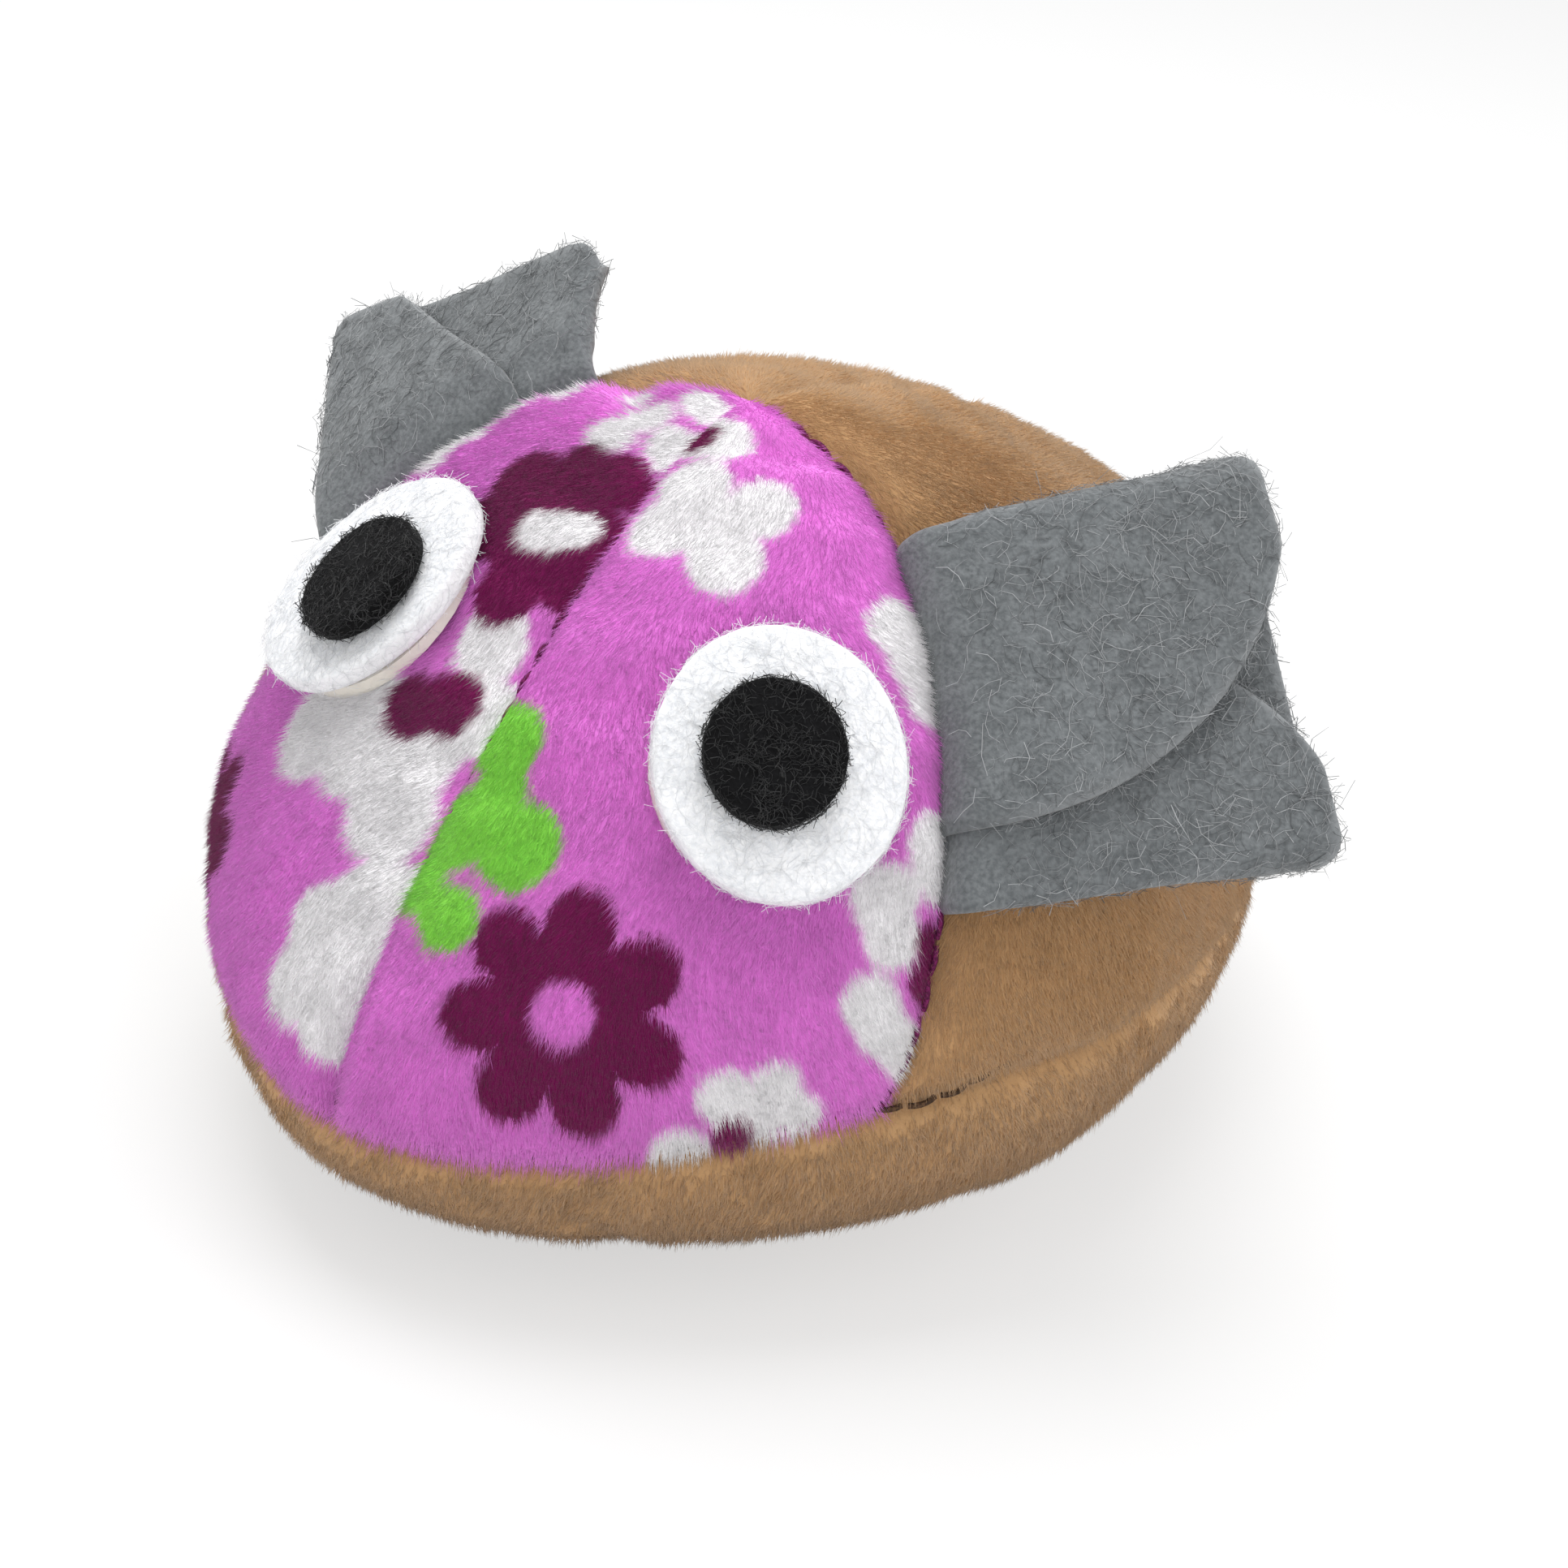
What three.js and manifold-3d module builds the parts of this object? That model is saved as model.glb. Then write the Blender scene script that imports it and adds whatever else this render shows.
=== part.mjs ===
// Stuffed plush mouse, a small cat toy sewn from short-pile plush with felt ears and eyes.
// Millimetres. The nose points to -Y, the toy's left side is +X, up is +Z and the base rests on Z = 0.
import * as THREE from "three";
import { mergeVertices } from "three/addons/utils/BufferGeometryUtils.js";
import Module from "manifold-3d";

const wasm = await Module();
wasm.setup();

// Overall form. The crown is where the centre seam crosses the neck seam.
const BODY_HALF_WIDTH = 44;
const CROWN_TO_NOSE = 45.2;
const CROWN_TO_RUMP = 68.5;
const BODY_HEIGHT = 63.3;
const NOSE_SEAM_HEIGHT = 13.6;
const SIDE_SEAM_HEIGHT = 23.6;
const RUMP_SEAM_HEIGHT = 20;
const REST_HALF_WIDTH = 18.5;

// Roundness of the form: 2 is an ellipse, lower values are more pointed.
const NOSE_PLAN_POWER = 1.68;
const RUMP_PLAN_POWER = 1.9;
const PLAN_SOFTNESS = 0.08;
// Stiffness of the profile curves: how far each stays upright at the seam and level at the crown.
const NOSE_UPRIGHT = 0.3;
const SIDE_UPRIGHT = 0.23;
const RUMP_UPRIGHT = 0.63;
const NOSE_CROWN = 0.3;
const SIDE_CROWN = 0.52;
const RUMP_CROWN = 0.34;
const BASE_UPRIGHT = 0.5;
const BASE_SPREAD = 0.75;

// Neck seam: how many degrees it runs ahead of the widest line, at the base, halfway and at the crown.
const NECK_LEAD_BASE = 32.3;
const NECK_LEAD_MIDDLE = 18.75;
const NECK_LEAD_CROWN = 1;

// Cloth, seams and filling.
const PLUSH_THICKNESS = 2.4;
const SEAM_GAP = 0.3;
const GROOVE_DEPTH = 1.3;
const GROOVE_WIDTH = 2.6;
const CLEARANCE = 0.3;
const THREAD_RADIUS = 0.28;
const CROWN_OPENING = 0.975;
const THREAD_START = 0.06;
const THREAD_END = 0.94;

// Felt eyes: a white disc with a black disc on it, held by a film of glue.
// Each sits where it was glued by hand, so the two are placed apart from each other.
const LEFT_EYE = {
  turnDegrees: 44.9,
  rise: 0.466,
  tiltDegrees: -6,
  leanDegrees: 0,
  pupilLift: 0.2,
  pupilAside: -0.7,
};
const RIGHT_EYE = {
  turnDegrees: 51.4,
  rise: 0.488,
  tiltDegrees: 3,
  leanDegrees: 4,
  pupilLift: 0.1,
  pupilAside: -2.5,
};
const EYE_RADIUS = 10;
const EYE_THICKNESS = 1.7;
const EYE_BEND_RADIUS = 62;
const PUPIL_RADIUS = 5.4;
const PUPIL_THICKNESS = 1.6;
const GLUE_RADIUS = 9.2;
const GLUE_FILM = 0.4;

// Felt ears: one round piece each, folded from both sides, with its root caught in the neck seam.
const FELT_THICKNESS = 1.1;
const FELT_PRESSED = 0.6;
const FELT_GAP = 0.35;
const INNER_FLAP_DEPTH = 19;
const FLAP_CURVE_END = 0.75;
const EAR_HINGE_HEIGHT = 1.8;
const EAR_ROOT_START = 1.4;
const EAR_TAB_THICKNESS = 1.6;
const EAR_TAB_DEPTH = 4.6;
const EAR_TAB_TOP = 0.6;
const EAR_TAB_END_MARGIN = 1.2;
const LEFT_EAR = {
  rootLow: 0.3,
  rootHigh: 0.7,
  liftDegrees: 11.2,
  lowLength: 26.4,
  highLength: 23.4,
  lowFlare: -1,
  highFlare: 3.6,
  flapDepth: 21.6,
  flapTipDepth: 4.6,
  flapOpening: 2.8,
  innerTipDepth: 4.6,
  innerOpening: 2.2,
  flapRoundness: 2.6,
  frontFoldHigh: true,
};
const RIGHT_EAR = {
  rootLow: 0.385,
  rootHigh: 0.78,
  liftDegrees: 20.5,
  lowLength: 23.6,
  highLength: 9.8,
  lowFlare: -4,
  highFlare: 4.6,
  flapDepth: 20.5,
  flapTipDepth: 7,
  flapOpening: 1.6,
  innerTipDepth: 24,
  innerOpening: 0.8,
  flapRoundness: 1,
  frontFoldHigh: false,
};

// Mesh fineness, in rows and columns.
const FACE_COLUMNS = 10;
const SIDE_COLUMNS = 15;
const PANEL_ROWS = 13;
const BASE_COLUMNS = 44;
const BASE_ROWS = 8;
const FILL_COLUMNS = 36;
const FILL_ROWS = 9;
const DISC_SEGMENTS = 32;
const THREAD_STEPS = 40;
const THREAD_SIDES = 6;

const CROWN_Y = (CROWN_TO_NOSE - CROWN_TO_RUMP) / 2;
const UP = new THREE.Vector3(0, 0, 1);
const FRONT = -Math.PI / 2;
const BACK = Math.PI / 2;
const FULL_TURN = Math.PI * 2;

const material = (color, roughness) => new THREE.MeshStandardMaterial({ color, roughness, metalness: 0 });
const FLORAL_PLUSH = material(0xc878cc, 0.95);
const BROWN_PLUSH = material(0x96785a, 0.95);
const GREY_FELT = material(0x6a6e70, 1);
const WHITE_FELT = material(0xf4f5f7, 1);
const BLACK_FELT = material(0x1c1d20, 1);
const GLUE = material(0xd8c39a, 0.4);
const FIBRE = material(0xeeeee8, 1);
const PLUM_THREAD = material(0x6a2450, 0.7);
const BROWN_THREAD = material(0x4a3524, 0.7);

const blend = (a, b, t) => a + (b - a) * t;
const radians = (degrees) => (degrees * Math.PI) / 180;
const smooth = (t) => t * t * (3 - 2 * t);

// A size that differs at nose, side and rump, taken round the body.
function roundBody(phi, nose, side, rump) {
  const s = Math.sin(phi);
  return blend(side, s < 0 ? nose : rump, s * s);
}

// Distance from the crown's axis to the base seam, seen from above.
function planRadius(phi) {
  const c = Math.hypot(Math.cos(phi), PLAN_SOFTNESS);
  const s = Math.hypot(Math.sin(phi), PLAN_SOFTNESS);
  const rear = smooth(THREE.MathUtils.clamp(Math.sin(phi) * 2 + 0.5, 0, 1));
  const power = blend(NOSE_PLAN_POWER, RUMP_PLAN_POWER, rear);
  const reach = blend(CROWN_TO_NOSE, CROWN_TO_RUMP, rear);
  const sum = (c / BODY_HALF_WIDTH) ** power + (s / reach) ** power;
  return sum ** (-1 / power);
}

// Puffed outer surface: rise is 0 on the base seam, 1 at the crown and -1 at the edge of the rest face.
function puffed(phi, rise) {
  const seam = roundBody(phi, NOSE_SEAM_HEIGHT, SIDE_SEAM_HEIGHT, RUMP_SEAM_HEIGHT);
  const t = Math.abs(rise);
  const u = 1 - t;
  let share = u ** 3 + 3 * u * u * t;
  let height = 0;
  if (rise >= 0) {
    const upright = roundBody(phi, NOSE_UPRIGHT, SIDE_UPRIGHT, RUMP_UPRIGHT);
    const level = roundBody(phi, NOSE_CROWN, SIDE_CROWN, RUMP_CROWN);
    share += 3 * u * t * t * level;
    height = seam + (BODY_HEIGHT - seam) * (3 * u * u * t * upright + 3 * u * t * t + t ** 3);
  } else {
    share += 3 * u * t * t * BASE_SPREAD + (t ** 3 * REST_HALF_WIDTH) / BODY_HALF_WIDTH;
    height = seam * (u ** 3 + 3 * u * u * t * (1 - BASE_UPRIGHT));
  }
  const reach = planRadius(phi) * share;
  return new THREE.Vector3(Math.cos(phi) * reach, CROWN_Y + Math.sin(phi) * reach, height);
}

// Outward direction of the puffed surface.
function outward(phi, rise) {
  const step = 0.002;
  const at = THREE.MathUtils.clamp(rise, -0.995, 0.995);
  const around = puffed(phi + step, at).sub(puffed(phi - step, at));
  const upward = puffed(phi, at + step).sub(puffed(phi, at - step));
  return around.cross(upward).normalize();
}

// A point that lies a given depth under the puffed surface, or above it where the depth is negative.
function skin(phi, rise, depth) {
  return puffed(phi, rise).addScaledVector(outward(phi, rise), -depth);
}

// Neck seam on the left side, and how far a point is from the crown's axis.
function neckAngle(rise) {
  const u = 1 - rise;
  const lead = NECK_LEAD_BASE * u * u + NECK_LEAD_MIDDLE * 2 * u * rise + NECK_LEAD_CROWN * rise * rise;
  return -radians(lead);
}

function axisDistance(phi, rise) {
  const p = puffed(phi, rise);
  return Math.hypot(p.x, p.y - CROWN_Y);
}

function groove(distance) {
  return GROOVE_DEPTH * Math.exp(-((distance / GROOVE_WIDTH) ** 2));
}

// Spacing that gathers rows and columns near the seams, where the cloth rolls in.
function gathered(t) {
  return t - (0.72 * Math.sin(FULL_TURN * t)) / FULL_TURN;
}

// Closed solid from vertices and triangles, turned so that its faces point out.
function solidGeometry(points, triangles) {
  let volume = 0;
  for (const [a, b, c] of triangles) {
    volume += points[a].dot(new THREE.Vector3().crossVectors(points[b], points[c]));
  }
  const indices = triangles.flatMap(([a, b, c]) => (volume > 0 ? [a, b, c] : [a, c, b]));
  const geometry = new THREE.BufferGeometry();
  geometry.setAttribute("position", new THREE.Float32BufferAttribute(points.flatMap((p) => p.toArray()), 3));
  geometry.setIndex(indices);
  return geometry;
}

function quad(list, a, b, c, d) {
  list.push([a, b, c], [a, c, d]);
}

// Sheet with a thickness: an outer and an inner grid of points, joined along their four edges.
function sheetSolid(outer, inner) {
  const rows = outer.length;
  const columns = outer[0].length;
  const points = [...outer.flat(), ...inner.flat()];
  const half = rows * columns;
  const at = (i, j) => i * columns + j;
  const triangles = [];
  for (let i = 0; i + 1 < rows; i += 1) {
    for (let j = 0; j + 1 < columns; j += 1) {
      quad(triangles, at(i, j), at(i, j + 1), at(i + 1, j + 1), at(i + 1, j));
      quad(triangles, half + at(i, j), half + at(i + 1, j), half + at(i + 1, j + 1), half + at(i, j + 1));
    }
  }
  for (let j = 0; j + 1 < columns; j += 1) {
    const last = rows - 1;
    quad(triangles, at(0, j), half + at(0, j), half + at(0, j + 1), at(0, j + 1));
    quad(triangles, at(last, j), at(last, j + 1), half + at(last, j + 1), half + at(last, j));
  }
  for (let i = 0; i + 1 < rows; i += 1) {
    const last = columns - 1;
    quad(triangles, at(i, 0), at(i + 1, 0), half + at(i + 1, 0), half + at(i, 0));
    quad(triangles, at(i, last), half + at(i, last), half + at(i + 1, last), at(i + 1, last));
  }
  return solidGeometry(points, triangles);
}

// Closed form of stacked rings, capped by a point at each end.
function ringSolid(rings, first, last) {
  const columns = rings[0].length;
  const points = [...rings.flat(), first, last];
  const firstAt = points.length - 2;
  const lastAt = points.length - 1;
  const bottom = (rings.length - 1) * columns;
  const triangles = [];
  for (let j = 0; j < columns; j += 1) {
    const next = (j + 1) % columns;
    for (let i = 0; i + 1 < rings.length; i += 1) {
      const here = i * columns;
      quad(triangles, here + j, here + next, here + columns + next, here + columns + j);
    }
    triangles.push([firstAt, next, j]);
    triangles.push([lastAt, bottom + j, bottom + next]);
  }
  return solidGeometry(points, triangles);
}

function mirrored(geometry) {
  const copy = geometry.clone();
  copy.scale(-1, 1, 1);
  const index = copy.getIndex().array;
  for (let i = 0; i < index.length; i += 3) {
    [index[i + 1], index[i + 2]] = [index[i + 2], index[i + 1]];
  }
  return copy;
}

function asManifold(geometry) {
  const plain = geometry.clone();
  plain.deleteAttribute("normal");
  plain.deleteAttribute("uv");
  const merged = mergeVertices(plain, 1e-4);
  const vertProperties = new Float32Array(merged.getAttribute("position").array);
  const triVerts = new Uint32Array(merged.getIndex().array);
  return new wasm.Manifold(new wasm.Mesh({ numProp: 3, vertProperties, triVerts }));
}

function asGeometry(manifold) {
  const mesh = manifold.getMesh();
  const geometry = new THREE.BufferGeometry();
  geometry.setAttribute("position", new THREE.Float32BufferAttribute(mesh.vertProperties, 3));
  geometry.setIndex(Array.from(mesh.triVerts));
  return geometry;
}

function cut(geometry, tools) {
  let solid = asManifold(geometry);
  for (const tool of tools) {
    solid = solid.subtract(asManifold(tool));
  }
  return asGeometry(solid);
}

// Rise at which a panel's edge stands half a seam gap away from the base seam.
function edgeRise(phi, sense) {
  const step = 0.004 * sense;
  const speed = puffed(phi, step).distanceTo(puffed(phi, 0)) / 0.004;
  return (sense * SEAM_GAP) / 2 / speed;
}

// Upper cloth panel of the left side, between two seams that run from the base seam to the crown.
function upperPanel(fromAngle, toAngle, columns) {
  const outer = [];
  const inner = [];
  for (let i = 0; i <= PANEL_ROWS; i += 1) {
    const share = gathered(i / PANEL_ROWS);
    const outerRow = [];
    const innerRow = [];
    for (let j = 0; j <= columns; j += 1) {
      const rise = blend(edgeRise(fromAngle(0), 1), CROWN_OPENING, share);
      const from = fromAngle(rise);
      const to = toAngle(rise);
      const first = from + SEAM_GAP / 2 / axisDistance(from, rise);
      const last = to - SEAM_GAP / 2 / axisDistance(to, rise);
      const phi = blend(first, last, gathered(j / columns));
      const reach = axisDistance(phi, rise);
      const aside = Math.min(phi - from, to - phi) * reach;
      const above = puffed(phi, rise).distanceTo(puffed(phi, 0));
      outerRow.push(skin(phi, rise, groove(Math.min(aside, above))));
      innerRow.push(skin(phi, rise, PLUSH_THICKNESS));
    }
    outer.push(outerRow);
    inner.push(innerRow);
  }
  return sheetSolid(outer, inner);
}

// Base panel: an oval of plush that rolls up to the base seam and lies flat where the toy rests.
function basePanel() {
  const outer = [];
  const inner = [];
  for (let i = 0; i <= BASE_ROWS; i += 1) {
    const outerRing = [];
    const innerRing = [];
    for (let j = 0; j < BASE_COLUMNS; j += 1) {
      const phi = FRONT + (FULL_TURN * j) / BASE_COLUMNS;
      const start = edgeRise(phi, -1);
      const rise = blend(start, -1, (i / BASE_ROWS) ** 1.5);
      const below = puffed(phi, rise).distanceTo(puffed(phi, 0));
      const outside = skin(phi, rise, groove(below));
      const inside = skin(phi, rise, PLUSH_THICKNESS);
      outside.z = i === BASE_ROWS ? 0 : Math.max(outside.z, 0);
      inside.z = Math.max(inside.z, PLUSH_THICKNESS);
      outerRing.push(outside);
      innerRing.push(inside);
    }
    outer.push(outerRing);
    inner.push(innerRing);
  }
  const rings = [...outer.reverse(), ...inner];
  const centre = new THREE.Vector3(0, CROWN_Y, 0);
  return ringSolid(rings, centre, centre.clone().setZ(PLUSH_THICKNESS));
}

// Fibre filling: one wad that fills the sewn cover, a clearance under the cloth.
function filling() {
  const depth = PLUSH_THICKNESS + CLEARANCE;
  const rings = [];
  for (let i = -FILL_ROWS; i <= FILL_ROWS; i += 1) {
    const rise = (i / FILL_ROWS) * (i < 0 ? 1 : CROWN_OPENING);
    const ring = [];
    for (let j = 0; j < FILL_COLUMNS; j += 1) {
      const point = skin(FRONT + (FULL_TURN * j) / FILL_COLUMNS, rise, depth);
      point.z = Math.max(point.z, depth);
      ring.push(point);
    }
    rings.push(ring);
  }
  const bottom = new THREE.Vector3(0, CROWN_Y, depth);
  const top = new THREE.Vector3(0, CROWN_Y, BODY_HEIGHT - depth);
  return ringSolid(rings, bottom, top);
}

// Sewing thread: a fine tube that lies in the groove of a seam.
function threadAlong(pointAt, steps) {
  const points = Array.from({ length: steps + 1 }, (_, i) => pointAt(i / steps));
  const section = new THREE.Shape();
  for (let k = 0; k < THREAD_SIDES; k += 1) {
    const turn = (FULL_TURN * k) / THREAD_SIDES;
    const x = THREAD_RADIUS * Math.cos(turn);
    const y = THREAD_RADIUS * Math.sin(turn);
    if (k === 0) section.moveTo(x, y);
    else section.lineTo(x, y);
  }
  section.closePath();
  const extrudePath = new THREE.CatmullRomCurve3(points);
  return new THREE.ExtrudeGeometry(section, { steps, extrudePath, curveSegments: 1 });
}

function threadDepth(aside) {
  return groove(aside) - THREAD_RADIUS - CLEARANCE;
}

function straightThread(phi) {
  const pointAt = (t) => skin(phi, blend(THREAD_START, THREAD_END, t), threadDepth(0));
  return threadAlong(pointAt, THREAD_STEPS);
}

// The neck thread passes in front of the ear's root, on the face side of the felt.
function neckThread(ear) {
  const pass = EAR_TAB_THICKNESS / 2 + 2 * CLEARANCE + THREAD_RADIUS;
  const pointAt = (t) => {
    const rise = blend(THREAD_START, THREAD_END, t);
    const before = (rise - ear.rootLow) / 0.06 + 1;
    const after = (ear.rootHigh - rise) / 0.06 + 1;
    const near = smooth(THREE.MathUtils.clamp(Math.min(before, after), 0, 1));
    const aside = pass * near;
    const phi = neckAngle(rise) - aside / axisDistance(neckAngle(rise), rise);
    return skin(phi, rise, threadDepth(aside));
  };
  return threadAlong(pointAt, THREAD_STEPS + 12);
}

// The base thread starts and ends at the rump, where the toy was closed after filling.
function baseThread() {
  const opening = (4 * THREAD_RADIUS) / CROWN_TO_RUMP;
  const pointAt = (t) => skin(BACK + blend(opening, FULL_TURN - opening, t), 0, threadDepth(0));
  return threadAlong(pointAt, THREAD_STEPS * 2);
}

// Frame of an ear: its hinge line along the root, its outward direction and its outer side.
function earFrame(ear) {
  const rootAt = (rise, depth) => skin(neckAngle(rise), rise, depth);
  const low = rootAt(ear.rootLow, 0);
  const high = rootAt(ear.rootHigh, 0);
  const middleRise = (ear.rootLow + ear.rootHigh) / 2;
  const along = high.clone().sub(low);
  const rootLength = along.length();
  along.normalize();
  const lift = outward(neckAngle(middleRise), middleRise);
  lift.addScaledVector(along, -lift.dot(along)).normalize();
  const chord = low.clone().add(high).multiplyScalar(0.5);
  const bulge = rootAt(middleRise, 0).sub(chord).dot(lift);
  const origin = chord.addScaledVector(lift, bulge + EAR_HINGE_HEIGHT);
  const back = new THREE.Vector3().crossVectors(along, lift);
  if (back.y < 0) back.negate();
  const tilt = radians(ear.liftDegrees);
  const out = back.clone().multiplyScalar(Math.cos(tilt)).addScaledVector(lift, Math.sin(tilt));
  const face = new THREE.Vector3().crossVectors(out, along).normalize();
  return { origin, along, lift, back, out, face, rootLength, rootAt };
}

// Folded felt of one ear, drawn as a section that runs from the front flap's cut edge round the first
// fold, over the back layer, round the second fold and along the inner flap.
function earFelt(ear) {
  const frame = earFrame(ear);
  const half = frame.rootLength / 2;
  const stackAtRoot = 2 * (FELT_PRESSED + FELT_GAP);
  const place = (along, out, height) => {
    const point = frame.origin.clone().addScaledVector(frame.along, along);
    point.addScaledVector(frame.out, out + EAR_ROOT_START);
    return point.addScaledVector(frame.face, height - stackAtRoot / 2);
  };
  const outer = [];
  const inner = [];
  const sections = 9;
  for (let i = 0; i <= sections; i += 1) {
    const s = 1 - (1 - i / sections) ** 1.4;
    const low = new THREE.Vector2(-half - ear.lowFlare * s, ear.lowLength * s);
    const high = new THREE.Vector2(half + ear.highFlare * s, ear.highLength * s);
    const innerEdge = ear.frontFoldHigh ? low : high;
    const frontEdge = ear.frontFoldHigh ? high : low;
    const across = frontEdge.clone().sub(innerEdge);
    const width = across.length();
    across.normalize();
    const thickness = blend(FELT_PRESSED, FELT_THICKNESS, smooth(Math.min(1, s * 6)));
    const innerHeight = thickness + FELT_GAP + ear.innerOpening * s * s;
    const frontHeight = 2 * (thickness + FELT_GAP) + ear.flapOpening * s * s;
    const shrink = (1 - s ** ear.flapRoundness) ** FLAP_CURVE_END;
    const frontDepth = blend(ear.flapTipDepth, ear.flapDepth, shrink) + frontHeight / 2;
    const innerDepth = blend(ear.innerTipDepth, INNER_FLAP_DEPTH, shrink) + innerHeight / 2;
    const line = [];
    for (let k = 0; k < 4; k += 1) {
      line.push([blend(width - frontDepth, width - frontHeight / 2, k / 4), frontHeight]);
    }
    for (let k = 0; k <= 5; k += 1) {
      const turn = (Math.PI * k) / 5;
      const x = width - frontHeight / 2 + (Math.sin(turn) * frontHeight) / 2;
      line.push([x, (frontHeight * (1 + Math.cos(turn))) / 2]);
    }
    for (let k = 1; k < 5; k += 1) {
      line.push([blend(width - frontHeight / 2, innerHeight / 2, k / 5), 0]);
    }
    for (let k = 0; k <= 5; k += 1) {
      const turn = (Math.PI * k) / 5;
      const x = innerHeight / 2 - (Math.sin(turn) * innerHeight) / 2;
      line.push([x, (innerHeight * (1 - Math.cos(turn))) / 2]);
    }
    for (let k = 1; k <= 4; k += 1) {
      line.push([blend(innerHeight / 2, innerDepth, k / 4), innerHeight]);
    }
    const outerRow = [];
    const innerRow = [];
    for (let k = 0; k < line.length; k += 1) {
      const before = line[Math.max(k - 1, 0)];
      const after = line[Math.min(k + 1, line.length - 1)];
      const run = new THREE.Vector2(after[0] - before[0], after[1] - before[1]).normalize();
      for (const [row, side] of [[outerRow, 0.5], [innerRow, -0.5]]) {
        const x = line[k][0] - run.y * thickness * side;
        const height = line[k][1] + run.x * thickness * side;
        row.push(place(innerEdge.x + across.x * x, innerEdge.y + across.y * x, height));
      }
    }
    outer.push(outerRow);
    inner.push(innerRow);
  }
  return sheetSolid(outer, inner);
}

// Root of an ear: the pressed felt that passes through the neck seam into the filling.
function earRoot(ear, margin) {
  const frame = earFrame(ear);
  const count = 8;
  const faceSide = [];
  const backSide = [];
  const spare = (EAR_TAB_END_MARGIN - margin) / frame.rootLength;
  for (let i = 0; i <= count; i += 1) {
    const share = blend(spare, 1 - spare, i / count);
    const rise = blend(ear.rootLow, ear.rootHigh, share);
    const normal = outward(neckAngle(rise), rise);
    const seam = frame.rootAt(rise, 0);
    const run = frame.rootAt(rise + 0.01, 0).sub(frame.rootAt(rise - 0.01, 0)).normalize();
    const aside = new THREE.Vector3().crossVectors(run, normal).normalize();
    const reach = seam.clone().sub(frame.origin).dot(frame.along);
    const top = frame.origin.clone().addScaledVector(frame.along, reach);
    top.addScaledVector(frame.lift, margin - EAR_TAB_TOP);
    const levels = [seam.clone().addScaledVector(normal, -EAR_TAB_DEPTH - margin), seam, top];
    const half = EAR_TAB_THICKNESS / 2 + margin;
    faceSide.push(levels.map((p) => p.clone().addScaledVector(aside, half)));
    backSide.push(levels.map((p) => p.clone().addScaledVector(aside, -half)));
  }
  return sheetSolid(faceSide, backSide);
}

// Frame of an eye on the left side: its middle on the face, the way it looks and its two cross directions.
// The tilt turns it towards the nose, and the lean turns it up.
function eyeFrame(place) {
  const phi = FRONT + radians(90 - place.turnDegrees);
  const middle = puffed(phi, place.rise);
  const look = outward(phi, place.rise);
  const side = new THREE.Vector3().crossVectors(UP, look).normalize();
  const rise = new THREE.Vector3().crossVectors(look, side);
  look.applyAxisAngle(rise, -radians(place.tiltDegrees));
  side.applyAxisAngle(rise, -radians(place.tiltDegrees));
  look.applyAxisAngle(side, -radians(place.leanDegrees));
  rise.applyAxisAngle(side, -radians(place.leanDegrees));
  return { phi, start: place.rise, middle, look, side, rise };
}

// Height of the face's surface over the eye's plane, at a point given in that plane.
function faceHeight(eye, x, y) {
  let phi = eye.phi;
  let rise = eye.start;
  const read = (a, b) => {
    const offset = puffed(a, b).sub(eye.middle);
    return [offset.dot(eye.side), offset.dot(eye.rise), offset.dot(eye.look)];
  };
  const step = 0.001;
  for (let k = 0; k < 12; k += 1) {
    const [px, py] = read(phi, rise);
    const [ax, ay] = read(phi + step, rise);
    const [bx, by] = read(phi, rise + step);
    const m = [(ax - px) / step, (bx - px) / step, (ay - py) / step, (by - py) / step];
    const det = m[0] * m[3] - m[1] * m[2];
    phi += (m[3] * (x - px) - m[1] * (y - py)) / det;
    rise += (m[0] * (y - py) - m[2] * (x - px)) / det;
  }
  return read(phi, rise)[2];
}

// Felt disc that bends with the face, as a lathed solid round its own axis.
function feltDisc(radius, low, high) {
  const droop = (r) => -(r * r) / (2 * EYE_BEND_RADIUS);
  const profile = [];
  for (const share of [0, 0.6, 1]) {
    profile.push(new THREE.Vector2(radius * share, low + droop(radius * share)));
  }
  for (const share of [1, 0.6, 0]) {
    profile.push(new THREE.Vector2(radius * share, high + droop(radius * share)));
  }
  const geometry = new THREE.LatheGeometry(profile, DISC_SEGMENTS);
  geometry.rotateX(Math.PI / 2);
  return geometry;
}

// Height at which the white disc clears the curved face by the glue film and its two gaps.
function eyeSeat(eye) {
  let seat = 0;
  for (let k = 0; k < DISC_SEGMENTS; k += 1) {
    const turn = (FULL_TURN * k) / DISC_SEGMENTS;
    for (const share of [0.35, 0.7, 1]) {
      const r = EYE_RADIUS * share;
      const face = faceHeight(eye, r * Math.cos(turn), r * Math.sin(turn));
      seat = Math.max(seat, face + (r * r) / (2 * EYE_BEND_RADIUS));
    }
  }
  return seat + GLUE_FILM + 2 * CLEARANCE;
}

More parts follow.
